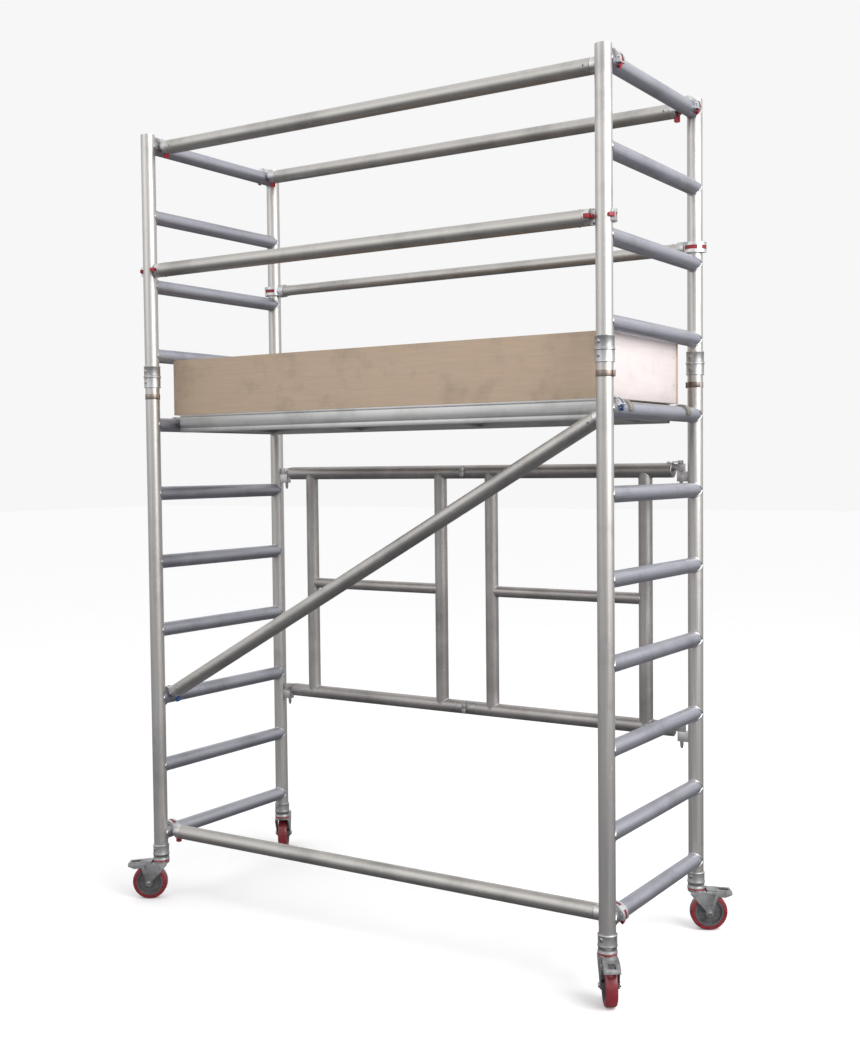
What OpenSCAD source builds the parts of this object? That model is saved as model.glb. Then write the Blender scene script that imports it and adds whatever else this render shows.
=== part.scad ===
// Mobile tower scaffold: two welded ladder frames per end, a folding gate at the back,
// guard rails and braces with lockable claws, a boarded platform with toe boards and a
// trapdoor, and four braked swivel casters. Millimetres. X runs along the tower, Y across
// it (the gate is on the +Y side), Z up. The origin is on the floor, midway between the
// uprights.

/* [Overall size] */
// Length from upright to upright, centre to centre
frame_len = 1800; // [1500:10:2400]
// Width across one end frame, centre to centre
frame_w = 700; // [600:10:1200]
// Height of the lowest rung's axis above the floor
rung0_z = 240; // [236:1:320]
// Spacing of the rungs
rung_pitch = 250; // [220:5:300]

/* [Frame tube] */
// Outside diameter of the uprights
tube_d = 50.8; // [48:0.1:62]
// Wall of every tube
tube_t = 2; // [1.6:0.1:2.4]
// Outside diameter of the rungs
rung_d = 50; // [40:0.5:50.5]
// Height of the uprights' tops above the top rung's axis
post_over = 40; // [30:1:80]

/* [Frame joint] */
// Height of the joint between the two frames above rung 6
seam_over = 172; // [140:1:178]
// Wall of the cast joint collars
collar_t = 3.6; // [3:0.1:5]
// Height of each joint collar
collar_h = 39; // [30:1:45]
// Gap between the tube ends inside the joint, where the collars carry the load
tube_gap = 1.2; // [1.1:0.1:3]
// Length of the spigot tube inside the joint
spigot_l = 210; // [150:5:260]
// Height of the spring clip band
clip_h = 19; // [14:1:24]
// Gap between the spring clip and the collar above it
clip_drop = 23; // [4:1:30]

/* [Braces and rails] */
// Outside diameter of the braces and guard rails
brace_d = 50; // [40:0.5:51]
// Outside diameter of the slim rear middle rail
slim_rail_d = 40; // [34:0.5:48]
// Height of the middle rails above rung 8
mid_rail_over = 53; // [48:1:90]
// Gap between a claw on a rung and the upright beside it
claw_gap = 7.6; // [2:0.2:12]

/* [Claw] */
// Width of a claw casting along the tube it grips
claw_w = 34; // [28:1:40]
// Outer radius of a claw casting
claw_r = 38.4; // [37.5:0.1:42]
// Gap between a claw and the tube it grips
claw_clear = 0.3; // [0.2:0.05:0.6]
// Width of the lock latch in its groove
latch_w = 11.6; // [8:0.2:14]
// Gap between the lock latch and its groove
latch_clear = 0.5; // [0.3:0.1:0.8]
// Diameter of the rivets in the collars and sockets
rivet_d = 14; // [8:0.5:15]
// Heading of the rivets in the collars and sockets
rivet_heading = -105; // [-180:1:180]
// Distance from the gripped tube's axis to the end of the brace tube
claw_reach = 60; // [52:1:80]

/* [Platform] */
// Gap between the platform's side and the diagonal brace
deck_gap = 5; // [2:0.5:20]
// Width of the platform's side beam
beam_w = 30; // [24:1:40]
// Height of the platform's side beam
beam_h = 63; // [55:1:80]
// Height of the deck surface above rung 6
deck_over = 35; // [34:0.5:45]
// Thickness of the deck board
board_t = 12; // [9:1:15]
// Thickness of the hooks over the rungs
hook_t = 6; // [4:0.5:7]
// Width of a hook
hook_w = 26; // [20:1:40]
// Distance of a hook from the tower's centre line
hook_y = 225; // [120:5:225]
// Height of the toe boards
toe_h = 200; // [150:5:200]
// Thickness of the toe boards
toe_t = 18; // [12:1:25]
// Length of the trapdoor
door_len = 600; // [480:10:640]
// Width of the trapdoor
door_w = 380; // [300:10:385]
// Centre of the trapdoor along the tower
door_x = 430; // [380:10:440]

/* [Folding gate] */
// Height of the gate's top tube above rung 5
gate_over = 66.5; // [66:0.5:120]
// Distance of the gate's bottom tube below rung 2
gate_under = 64; // [56:0.5:100]
// Diameter of the gate's horizontal tubes
gate_d = 50; // [44:0.5:51]
// Diameter of the gate's uprights
gate_post_d = 48; // [36:0.5:48]
// Diameter of the gate's middle rails
gate_rail_d = 40; // [30:0.5:46]
// Distance from the frame uprights to the end pins, centre to centre
gate_pin_in = 50; // [48:1:70]
// Distance from an end pin to the outer gate upright
gate_post_in = 130; // [100:5:200]
// Distance from the middle hinge to the inner gate upright
gate_mid_in = 110; // [70:5:160]
// Gap between the two panels when the gate is folded
fold_gap = 2; // [1:0.5:8]
// Diameter of the gate's end pins
gate_pin_d = 12; // [8:0.5:14]

/* [Caster] */
// Diameter of the wheel
wheel_d = 125; // [100:1:130]
// Width of the tread
tread_w = 36; // [28:1:38]
// Distance from the swivel axis to the axle
trail = 42; // [34:1:48]
// Diameter of the kingpin
kingpin_d = 16; // [12:0.5:18]
// Diameter of the axle
axle_d = 10; // [8:0.5:12]
// Wall of the caster socket casting around the upright
socket_t = 3.6; // [3:0.1:5]
// Headings of the casters: near left, near right, far right, far left
caster_heading = [212.7, -57.3, 32.7, 122.7]; // [-180:0.1:360]

/* [Fits] */
// Radial running clearance of pins and shafts
run_fit = 0.08; // [0.04:0.01:0.1]
// Radial gap between a sleeve and the tube inside it
sleeve_fit = 0.05; // [0.02:0.01:0.1]

/* [Hidden] */
$fn = 64;
e = 0.01;
hl = frame_len / 2;
hw = frame_w / 2;
tube_r = tube_d / 2;
axle_z = wheel_d / 2;
function rung_z(i) = rung0_z + i * rung_pitch;
seam_z = rung_z(6) + seam_over;
top_z = rung_z(10) + post_over;
// casters are listed as corners: sign of x, sign of y
corners = [[-1, -1], [1, -1], [1, 1], [-1, 1]];
// caster stack, measured down from the lowest rung
socket_top = rung0_z - 41;
socket_bot = rung0_z - 96;
post_bot = socket_bot + 11;
race_h = 4;
vent_d = 8;
ring_h = 4.6;
ring_bot = socket_bot - ring_h;
race_top = ring_bot - 0.4;
crown_z = race_top - race_h;
socket_r = tube_r + sleeve_fit + socket_t;
// braces sit just inside the uprights
brace_y = hw - tube_r - claw_gap - claw_w / 2;
mid_z = rung_z(8) + mid_rail_over;
slope = atan2(4 * rung_pitch, frame_len);
grip_r = tube_r + claw_clear;
groove_r0 = grip_r + 5;
groove_r1 = groove_r0 + 5.7;
// platform
deck_y = brace_y - brace_d / 2 - deck_gap;
deck_z = rung_z(6) + deck_over;
hook_ri = rung_d / 2 + 0.3;
deck_x = hl - hook_ri - hook_t - 26;
beam_z0 = deck_z - beam_h;
cross_z = deck_z - board_t;
toe_x = hl - rung_d / 2 - 3;
door_y = door_w / 2;
door_hinge_y = door_y - board_t / 2 - 3;
door_hinge_z = deck_z - board_t / 2;
door_bush_d = board_t - 3;
door_pin_d = door_bush_d - 3.5;
// gate
gate_top = rung_z(5) + gate_over;
gate_bot = rung_z(2) - gate_under;
gate_mid = (gate_top + gate_bot) / 2;
pin_x = hl - gate_pin_in;
fold_y = hw - gate_d / 2 - fold_gap / 2;
gate_zs = [gate_bot, gate_top];

// Claws: [x side, y, z, roll about X, tilt]
claw_at = [
  [-1, -brace_y, rung_z(10), 0, 0], [1, -brace_y, rung_z(10), 0, 0],
  [-1, brace_y, rung_z(10), 0, 0], [1, brace_y, rung_z(10), 0, 0],
  [-1, -hw, mid_z, -90, 0], [1, -hw, mid_z, -90, 0],
  [-1, hw, mid_z, 90, 0], [1, hw, mid_z, 90, 0],
  [-1, -brace_y, rung_z(0), 0, 0], [1, -brace_y, rung_z(0), 0, 0],
  [-1, -brace_y, rung_z(2), 0, slope], [1, -brace_y, rung_z(6), 0, -slope]
];

// A tube along X, Y or Z between two stations
module tube_x(x0, x1, d, t = tube_t) {
  translate([x0, 0, 0]) rotate([0, 90, 0]) difference() {
    cylinder(d = d, h = x1 - x0);
    translate([0, 0, -1]) cylinder(d = d - 2 * t, h = x1 - x0 + 2);
  }
}
module rod_x(x0, x1, d) {
  translate([x0, 0, 0]) rotate([0, 90, 0]) cylinder(d = d, h = x1 - x0);
}
module rod_y(y0, y1, d) {
  translate([0, y0, 0]) rotate([-90, 0, 0]) cylinder(d = d, h = y1 - y0);
}
module rod_z(z0, z1, d) {
  translate([0, 0, z0]) cylinder(d = d, h = z1 - z0);
}
module box(x0, x1, y0, y1, z0, z1) {
  translate([x0, y0, z0]) cube([x1 - x0, y1 - y0, z1 - z0]);
}
// A flat shape drawn in X and Z, given a width along Y
module slab_y(w) {
  rotate([90, 0, 0]) linear_extrude(height = w, center = true) children();
}
// Part of a ring, from angle a0 to a1, drawn flat
module ring_arc(r0, r1, a0, a1) {
  n = 24;
  difference() {
    circle(r = r1);
    circle(r = r0);
    polygon(concat([[0, 0]], [for (i = [0:n])
      let (a = a1 + (a0 + 360 - a1) * i / n) [4 * r1 * cos(a), 4 * r1 * sin(a)]]));
  }
}

// A welded ladder frame: two uprights and its hollow rungs, which are closed by the
// uprights' walls but for a vent hole
module ladder_frame(z0, z1, rungs) {
  difference() {
    union() {
      for (s = [-1, 1]) translate([0, s * hw, 0]) rod_z(z0, z1, tube_d);
      for (i = rungs) translate([0, 0, rung_z(i)]) rod_y(-hw, hw, rung_d);
    }
    for (s = [-1, 1]) translate([0, s * hw, 0]) rod_z(z0 - 1, z1 + 1, tube_d - 2 * tube_t);
    for (i = rungs) translate([0, 0, rung_z(i)]) {
      rod_y(tube_r - hw, hw - tube_r, rung_d - 2 * tube_t);
      rod_y(-hw, hw, vent_d);
    }
  }
}
module lower_frame(s) {
  color("gainsboro") translate([s * hl, 0, 0]) ladder_frame(post_bot, seam_z - tube_gap / 2, [0:6]);
}
module upper_frame(s) {
  color("gainsboro") translate([s * hl, 0, 0]) ladder_frame(seam_z + tube_gap / 2, top_z, [7:10]);
}

// One item at each upright
module at_uprights() {
  for (c = corners) translate([c[0] * hl, c[1] * hw, 0]) children();
}

// Cast collars above and below the frame joint, with a rim at each end and a flange
module joint_collars() {
  ri = tube_r + sleeve_fit;
  ro = ri + collar_t;
  color("lightgray") at_uprights() for (m = [0, 1]) {
    translate([0, 0, seam_z]) mirror([0, 0, m]) rotate_extrude()
      polygon([[ri, 0.05], [ro + 2, 0.05], [ro + 2, 3], [ro, 4.5], [ro, collar_h - 4],
        [ro + 0.8, collar_h - 3], [ro + 0.8, collar_h], [ri, collar_h]]);
  }
}

// Short tubes inside the uprights that join the upper frame to the lower one
module joint_spigots() {
  d = tube_d - 2 * tube_t - 2 * sleeve_fit;
  color("silver") at_uprights() translate([0, 0, seam_z - spigot_l * 0.6]) difference() {
    cylinder(d = d, h = spigot_l);
    translate([0, 0, -1]) cylinder(d = d - 5, h = spigot_l + 2);
  }
}

// Spring clips around the lower uprights, just under the joint, each with a pull tab
module spring_clips() {
  ri = tube_r + sleeve_fit;
  color("rosybrown") at_clip() {
    linear_extrude(height = clip_h) union() {
      ring_arc(ri, ri + 1.2, -160, 150);
      translate([ri + 0.8, -6]) square([6, 12]);
    }
  }
}
module at_clip() {
  z = seam_z - collar_h - clip_drop - clip_h;
  for (c = corners) translate([c[0] * hl, c[1] * hw, z])
    rotate([0, 0, c[1] < 0 ? 0 : 180]) children();
}

// Cast sockets at the feet of the uprights: a sleeve outside, a plug with the kingpin's
// bore inside
module caster_sockets() {
  ri = tube_r + sleeve_fit;
  rp = tube_r - tube_t - sleeve_fit;
  rb = kingpin_d / 2 + run_fit;
  color("silver") at_uprights() rotate_extrude()
    polygon([[rb, socket_bot], [socket_r + 0.6, socket_bot], [socket_r + 0.6, socket_bot + 5],
      [socket_r - 1.2, socket_bot + 9], [socket_r - 1.2, socket_bot + 15],
      [socket_r + 0.6, socket_bot + 19], [socket_r + 0.6, socket_bot + 23],
      [socket_r - 0.6, socket_bot + 26], [socket_r - 0.6, socket_top - 5],
      [socket_r + 0.4, socket_top - 4], [socket_r + 0.4, socket_top], [ri, socket_top],
      [ri, post_bot - 0.05], [rp, post_bot - 0.05], [rp, post_bot + 22],
      [rp - 5, post_bot + 60], [rb, post_bot + 60]]);
}

// Plastic seal rings under the sockets
module socket_rings() {
  color("firebrick") at_uprights() translate([0, 0, ring_bot]) difference() {
    cylinder(r = socket_r + 0.3, h = ring_h - 0.05);
    translate([0, 0, -1]) cylinder(r = socket_r - 6, h = ring_h + 2);
  }
}

// Rails and braces: each is one tube that ends short of the claws' gripped tubes
module rail(y, z, d) {
  translate([0, y, z]) tube_x(-hl + claw_reach, hl - claw_reach, d);
}
module top_rail(s) {
  color("silver") rail(s * brace_y, rung_z(10), brace_d);
}
module mid_rail_front() {
  color("silver") rail(-hw, mid_z, brace_d);
}
module mid_rail_back() {
  color("silver") rail(hw, mid_z, slim_rail_d);
}
module bottom_brace() {
  color("silver") rail(-brace_y, rung_z(0), brace_d);
}
module diagonal_brace() {
  half = sqrt(hl * hl + pow(2 * rung_pitch, 2)) - claw_reach;
  color("silver") translate([0, -brace_y, rung_z(4)]) rotate([0, -slope, 0])
    tube_x(-half, half, brace_d);
}

// Claws. In its own frame a claw grips a tube that runs along Y through the origin, its
// mouth opens downwards and the brace leaves towards -X. Its groove is open in a window at
// the nose and along the top, with a bridge between. The neck is as wide as a brace, also on
// the slim rail's claws.
module at_claw(i) {
  c = claw_at[i];
  translate([c[0] * hl, c[1], c[2]]) mirror([c[0] < 0 ? 1 : 0, 0, 0])
    rotate([c[3], c[4], 0]) children();
}
module claw_casting(plug_d) {
  difference() {
    union() {
      slab_y(claw_w) union() {
        circle(r = claw_r);
        translate([-claw_r, -7]) square([2 * claw_r, 7]);
      }
      rod_x(-claw_reach - 42, -claw_reach + 1, plug_d);
      rod_x(-claw_reach + 0.05, -claw_r + 6, brace_d - 0.1);
      for (s = [-1, 1]) translate([claw_r * 0.78, s * (claw_w / 2 + 0.7), 11])
        rod_y(-0.8, 0.8, 7);
    }
    rod_y(-claw_w, claw_w, 2 * grip_r);
    box(-grip_r, grip_r, -claw_w, claw_w, -60, 0);
    box(-claw_r - 1, claw_r + 1, -claw_w, claw_w, -60, -7);
    slab_y(latch_w + 2 * latch_clear) difference() {
      circle(r = groove_r1);
      circle(r = groove_r0);
    }
    slab_y(latch_w + 2 * latch_clear) {
      ring_arc(groove_r1 - e, claw_r + 3, -3, 32);
      ring_arc(groove_r1 - e, claw_r + 3, 58, 128);
    }
    box(-claw_reach + 7, -claw_r + 1, -latch_w / 2 - latch_clear, latch_w / 2 + latch_clear, -60, -13);
    slab_y(latch_w + 2 * latch_clear) ring_arc(grip_r - 1, groove_r0 + e, -45, 3);
  }
}
module brace_claws() {
  color("lightgray") for (i = [0:11]) {
    d = (i == 6 || i == 7 ? slim_rail_d : brace_d) - 2 * tube_t - 2 * sleeve_fit;
    at_claw(i) claw_casting(d);
  }
}
// Lock latch: an arc in the claw's groove with a tooth that closes the mouth and a tab
// to pull it back. It turns about the gripped tube's axis.
module lock_latch(i) {
  r0 = groove_r0 + latch_clear;
  r1 = groove_r1 - latch_clear;
  color(i > 9 ? "steelblue" : "firebrick") at_claw(i) slab_y(latch_w) union() {
    ring_arc(r0, r1, -40, 206);
    ring_arc(grip_r + 0.6, r1, -40, -27);
    difference() {
      translate([-claw_reach + 10, -38]) square([17, 22]);
      circle(r = r0);
    }
  }
}

// Rivets: joint collars, caster sockets and claw plugs
module rivets() {
  ro = tube_r + sleeve_fit + collar_t;
  color("darkgray") {
    for (c = corners, z = [-1, 1]) translate([c[0] * hl, c[1] * hw, seam_z + z * 20])
      rotate([0, 0, rivet_heading]) rod_x(ro + 0.02, ro + 1.6, rivet_d);
    for (c = corners) translate([c[0] * hl, c[1] * hw, socket_top - 14])
      rotate([0, 0, rivet_heading]) rod_x(socket_r - 0.58, socket_r + 1, rivet_d);
    for (i = [0:11]) {
      r = (i == 6 || i == 7 ? slim_rail_d : brace_d) / 2;
      at_claw(i) for (s = [-1, 1]) translate([-claw_reach - 18, 0, 0])
        rotate([0, 0, s * 90]) rod_x(r + 0.02, r + 1.3, 8);
    }
  }
}

// Platform frame: two hollow side beams with a groove, and cross beams under the board
module deck_frame() {
  cross_x = [-deck_x + 12.5, -deck_x / 2 + 20, door_x - door_len / 2 - 3,
    door_x + door_len / 2 + 3, deck_x - 12.5];
  color("silver") {
    for (s = [0, 1]) mirror([0, s, 0]) difference() {
      box(-deck_x, deck_x, deck_y - beam_w, deck_y, beam_z0, deck_z - 0.05);
      box(-deck_x - 1, deck_x + 1, deck_y - beam_w + 2, deck_y - 4, beam_z0 + 3, deck_z - 3);
      box(-deck_x - 1, deck_x + 1, deck_y - 1.5, deck_y + 1, beam_z0 + 14, beam_z0 + 17);
    }
    for (x = cross_x) translate([x, 0, 0]) difference() {
      box(-12.5, 12.5, beam_w - deck_y + 0.05, deck_y - beam_w - 0.05, beam_z0 + 6, cross_z - 0.05);
      box(-10.5, 10.5, -deck_y, deck_y, beam_z0 + 8, cross_z - 2);
    }
  }
}

// Hooks over the rungs at both ends of the platform, each on a foot on the end beam
module deck_hooks() {
  color("tan") for (sx = [-1, 1], sy = [-1, 1]) {
    translate([sx * hl, sy * hook_y, rung_z(6)]) mirror([sx < 0 ? 1 : 0, 0, 0])
      slab_y(hook_w) union() {
        ring_arc(hook_ri, hook_ri + hook_t, -8, 190);
        translate([-hl + deck_x + 0.05, -20])
          square([hl - deck_x - hook_ri - 2, 36]);
      }
  }
}

// Deck board with the trapdoor's opening and a bore for a bush at each end of it
module deck_board() {
  y = deck_y - beam_w - 0.3;
  color("burlywood") difference() {
    box(-deck_x, deck_x, -y, y, cross_z, deck_z);
    box(door_x - door_len / 2, door_x + door_len / 2, -door_y, door_y, cross_z - 1, deck_z + 1);
    at_door_pivots() rod_x(-1, 16.3, door_bush_d + 2 * sleeve_fit);
  }
}
// Both ends of the trapdoor's opening, on the hinge axis, X pointing away from the door
module at_door_pivots() {
  for (m = [0, 1]) translate([door_x, door_hinge_y, door_hinge_z]) mirror([m, 0, 0])
    translate([door_len / 2, 0, 0]) children();
}

// Trapdoor panel; it rests on the beams beside the opening. The corner under its hinge
// edge is taken off so that it clears the beams as it turns.
module trapdoor() {
  g = 2;
  back = board_t / 2 - 2;
  color("burlywood") difference() {
    translate([door_x - door_len / 2 + g, 0, 0]) rotate([90, 0, 90])
      linear_extrude(height = door_len - 2 * g)
        polygon([[-door_y + g, cross_z + 0.3], [door_hinge_y - 1.5, cross_z + 0.3],
          [door_hinge_y + back, door_hinge_z - 1], [door_hinge_y + back, deck_z],
          [-door_y + g, deck_z]]);
    translate([door_x, -door_y + 60, 0]) rod_z(cross_z - 1, deck_z + 1, 36);
    at_door_pivots() rod_x(-42.3, 5, door_pin_d + 2 * sleeve_fit);
  }
}
// Pivots of the trapdoor: a bush in the deck board and a pin in the door at each end
module door_bushes() {
  color("silver") at_door_pivots() difference() {
    rod_x(0.05, 16, door_bush_d);
    rod_x(-1, 17, door_pin_d + 2 * run_fit);
  }
}
module door_pins() {
  color("silver") at_door_pivots() rod_x(-42, 15, door_pin_d);
}

// Toe boards stand on the platform's edges; the end boards fit between the long ones
module toe_board_long(s) {
  color("tan") box(-toe_x, toe_x, s > 0 ? deck_y - toe_t : -deck_y, s > 0 ? deck_y : toe_t - deck_y,
    deck_z + 0.05, deck_z + toe_h);
}
module toe_board_ends() {
  y = deck_y - toe_t - 0.05;
  color("linen") for (s = [-1, 1])
    box(s > 0 ? toe_x - toe_t : -toe_x, s > 0 ? toe_x : toe_t - toe_x, -y, y,
      deck_z + 0.05, deck_z + toe_h);
}

// Brackets on the rear uprights. The left pair have eyes for the gate's pins; the right
// pair are forks that the far pins drop into.
module gate_brackets() {
  reach = gate_pin_in + 11;
  pr = gate_pin_d / 2;
  color("lightgray") for (z = gate_zs, s = [-1, 1])
    translate([s * hl, hw, z]) mirror([s > 0 ? 1 : 0, 0, 0]) difference() {
      box(tube_r - 4, reach, -12, 12, -38, -4.3);
      rod_z(-60, 1, tube_d + 2 * sleeve_fit);
      translate([gate_pin_in, 0, 0]) {
        rod_z(-60, 1, 2 * (pr + (s < 0 ? run_fit : 0.4)));
        if (s > 0) {
          translate([-1.6, 0, 0]) rod_z(-60, 1, 2 * (pr + 0.4));
          box(-1.6, 40, -pr - 0.4, pr + 0.4, -60, 1);
        }
      }
    }
}

// A gate panel: two long tubes, two uprights and a middle rail, welded. Drawn for the
// left side and mirrored for the right.
module gate_panel() {
  x0 = -pin_x + 28;
  x1 = -40;
  posts = [-pin_x + gate_post_in, -gate_mid_in];
  translate([0, hw, 0]) difference() {
    union() {
      for (z = gate_zs) translate([0, 0, z]) rod_x(x0, x1, gate_d);
      for (x = posts) translate([x, 0, 0]) rod_z(gate_bot, gate_top, gate_post_d);
      translate([0, 0, gate_mid]) rod_x(posts[0], posts[1], gate_rail_d);
    }
    for (z = gate_zs) translate([0, 0, z]) rod_x(x0 - 1, x1 + 1, gate_d - 2 * tube_t);
    for (x = posts) translate([x, 0, 0]) {
      rod_z(gate_bot + gate_d / 2, gate_top - gate_d / 2, gate_post_d - 2 * tube_t);
      rod_z(gate_bot, gate_top, vent_d);
    }
    translate([0, 0, gate_mid]) {
      rod_x(posts[0] + gate_post_d / 2, posts[1] - gate_post_d / 2, gate_rail_d - 2 * tube_t);
      rod_x(posts[0], posts[1], vent_d);
    }
  }
}
module gate_panel_left() {
  color("darkgray") gate_panel();
}
module gate_panel_right() {
  color("darkgray") mirror([1, 0, 0]) gate_panel();
}

// Castings plugged into the panel's tube ends: the pin lug at the outer end and half of
// the middle hinge at the inner one. up = 1 puts the knuckle on top.
module gate_castings(up) {
  plug = gate_d - 2 * tube_t - 2 * sleeve_fit;
  kr = 9;
  kp = 4;
  for (z = gate_zs) translate([0, 0, z]) {
    translate([0, hw, 0]) {
      rod_x(-pin_x + 28, -pin_x + 62, plug);
      translate([0, 0, 9.2]) rod_x(-pin_x + 11, -pin_x + 27.95, 24);
      box(-pin_x - 11, -pin_x + 20, -11, 11, -3.8, 22);
      translate([-pin_x, 0, 0]) {
        rod_z(-50, 0, gate_pin_d);
        translate([0, 0, -62]) cylinder(d1 = gate_pin_d - 5, d2 = gate_pin_d, h = 12.01);
      }
    }
    difference() {
      union() {
        translate([0, hw, 0]) rod_x(-72, -40, plug);
        difference() {
          translate([0, hw, 0]) rod_x(-39.95, -1.5, gate_d);
          translate([0, fold_y, 0]) mirror([0, 0, up]) rod_z(-0.3, 40, 2 * kr + 1);
        }
        translate([0, fold_y, 0]) mirror([0, 0, 1 - up]) rod_z(0.3, 16, 2 * kr);
      }
      if (up == 0) translate([0, fold_y, 0]) rod_z(-30, 30, 2 * (kp + run_fit));
      for (x = [-14, -28]) translate([x, hw - gate_d / 2, 0]) rod_y(-2, 2.5, 7);
    }
    if (up == 1) translate([0, fold_y, 0]) rod_z(-19, 1, 2 * kp);
  }
}
module gate_castings_left() {
  color("gray") gate_castings(1);
}
module gate_castings_right() {
  color("gray") mirror([1, 0, 0]) {
    gate_castings(0);
    for (s = [-1, 1]) translate([-pin_x + 2, hw + s * 8.5, gate_top]) difference() {
      box(-6, 6, -2.5, 2.5, 21, 33);
      translate([0, 0, 27]) rod_y(-4, 4, 5 + 2 * run_fit);
    }
  }
}

// Spring lever on the top right end of the gate: a flat bar with a round eye
module gate_latch() {
  color("silver") mirror([1, 0, 0]) translate([-pin_x + 2, hw, gate_top + 27]) {
    rod_y(-13, 13, 5);
    difference() {
      union() {
        rod_y(-5.5, 5.5, 9);
        box(0, 34, -5.5, 5.5, -1.2, 2.8);
        translate([38, 0, 0]) rod_z(-1.2, 2.8, 22);
      }
      translate([38, 0, 0]) rod_z(-3, 9, 12);
    }
  }
}

// Casters. In its own frame a caster's kingpin is at the origin, its wheel trails to +X
module at_caster(i) {
  translate([corners[i][0] * hl, corners[i][1] * hw, 0]) rotate([0, 0, caster_heading[i]])
    children();
}
leg_in = tread_w / 2 + 7.5;
leg_t = 3;
hub_half = leg_in - 0.6;
pedal_px = trail + 20;
pedal_pz = crown_z - 10;
module fork(i) {
  kr = kingpin_d / 2;
  pivot_r = 3 + run_fit;
  nut_z = post_bot + 60.5 - crown_z;
  leg = [[-23, crown_z], [30, crown_z], [pedal_px + 8, crown_z - 4],
    [pedal_px + 8, crown_z - 20], [trail + 13, axle_z + 8], [trail + 12, axle_z - 4],
    [trail - 12, axle_z - 4], [trail - 14, axle_z + 8]];
  color("slategray") at_caster(i) {
    translate([0, 0, crown_z]) rotate_extrude()
      polygon([[0, 0], [socket_r - 2, 0], [socket_r, 1.5], [socket_r, race_h], [kr, race_h],
        [kr, nut_z], [kr + 5, nut_z], [kr + 5, nut_z + 6], [0, nut_z + 6]]);
    difference() {
      union() {
        rod_z(crown_z - 4, crown_z, 2 * (leg_in + leg_t));
        for (s = [-1, 1]) translate([0, s * (leg_in + leg_t / 2), 0]) slab_y(leg_t) union() {
          polygon(leg);
          translate([trail, axle_z]) circle(r = 13);
        }
      }
      translate([trail, 0, axle_z]) rod_y(-60, 60, axle_d + 0.1);
      translate([pedal_px, 0, pedal_pz]) rod_y(-60, 60, 2 * pivot_r);
    }
    translate([trail, 0, axle_z]) {
      rod_y(-leg_in - leg_t - 4, leg_in + leg_t + 4, axle_d);
      rod_y(leg_in + leg_t + 0.05, leg_in + leg_t + 5, 16);
      rod_y(-leg_in - leg_t - 5, -leg_in - leg_t - 0.05, 16);
    }
  }
}
module rim(i) {
  r = wheel_d / 2 - 14;
  color("dimgray") at_caster(i) translate([trail, 0, axle_z]) difference() {
    union() {
      rod_y(-hub_half, hub_half, 30);
      rod_y(-9, 9, 2 * r - 4);
      difference() {
        rod_y(1 - tread_w / 2, tread_w / 2 - 1, 2 * r);
        rod_y(-tread_w, tread_w, 2 * r - 12);
      }
    }
    rod_y(-60, 60, axle_d + 2 * run_fit);
  }
}
module tyre(i) {
  r0 = wheel_d / 2 - 13.95;
  r1 = wheel_d / 2;
  h = tread_w / 2;
  color("firebrick") at_caster(i) translate([trail, 0, axle_z]) rotate([90, 0, 0])
    rotate_extrude(angle = 360)
      polygon([[r0, -h], [r1 - 5, -h], [r1 - 1.5, 3 - h], [r1, 7 - h], [r1, h - 7],
        [r1 - 1.5, h - 3], [r1 - 5, h], [r0, h]]);
}
// Brake pedal: a pressed lever over the wheel with side cheeks, a slot and a brake shoe
module pedal(i) {
  cheek = leg_in - 1.5;
  x0 = socket_r + 3.5;
  side = [[x0, crown_z + 6], [trail + 76, crown_z - 1], [trail + 77, crown_z - 13],
    [trail + 54, crown_z - 22], [pedal_px, crown_z - 19], [x0, crown_z - 8]];
  top = [[x0, crown_z + 6], [trail + 76, crown_z - 1], [trail + 76, crown_z - 4],
    [x0, crown_z + 3]];
  shoe = [[pedal_px + 2, crown_z + 1], [pedal_px + 12, crown_z + 1],
    [pedal_px + 12, crown_z - 16], [pedal_px + 6, crown_z - 13]];
  color("slategray") at_caster(i) {
    difference() {
      union() {
        slab_y(2 * cheek) polygon(top);
        for (s = [-1, 1]) translate([0, s * (cheek - 1.25), 0]) slab_y(2.5) polygon(side);
        slab_y(2 * cheek - 2) polygon([[trail + 74, crown_z - 2], [trail + 76, crown_z - 2],
          [trail + 77, crown_z - 13], [trail + 75, crown_z - 13]]);
        slab_y(24) polygon(shoe);
      }
      translate([trail + 51, 0, crown_z - 10]) cube([34, 22, 40], center = true);
    }
    for (s = [-1, 1]) translate([pedal_px, 0, pedal_pz]) mirror([0, s < 0 ? 1 : 0, 0])
      rod_y(cheek - 1, leg_in + leg_t + 1.5, 6);
  }
}

lower_frame(-1);  // lower_frame_left
lower_frame(1);  // lower_frame_right
upper_frame(-1);  // upper_frame_left
upper_frame(1);  // upper_frame_right
joint_collars();
joint_spigots();
spring_clips();
caster_sockets();
socket_rings();
top_rail(-1);  // top_rail_front
top_rail(1);  // top_rail_back
mid_rail_front();
mid_rail_back();
bottom_brace();
diagonal_brace();
brace_claws();
rivets();
deck_frame();
deck_hooks();
deck_board();
toe_board_long(-1);  // toe_board_front
toe_board_long(1);  // toe_board_back
toe_board_ends();
gate_brackets();
gate_panel_left();
gate_castings_left();
gate_panel_right();
gate_castings_right();
gate_latch();
trapdoor();
door_bushes();
door_pins();
lock_latch(0);  // latch_top_front_left
lock_latch(1);  // latch_top_front_right
lock_latch(2);  // latch_top_back_left
lock_latch(3);  // latch_top_back_right
lock_latch(4);  // latch_mid_front_left
lock_latch(5);  // latch_mid_front_right
lock_latch(6);  // latch_mid_back_left
lock_latch(7);  // latch_mid_back_right
lock_latch(8);  // latch_bottom_left
lock_latch(9);  // latch_bottom_right
lock_latch(10);  // latch_diagonal_left
lock_latch(11);  // latch_diagonal_right
fork(0);  // fork_near_left
fork(1);  // fork_near_right
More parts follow.
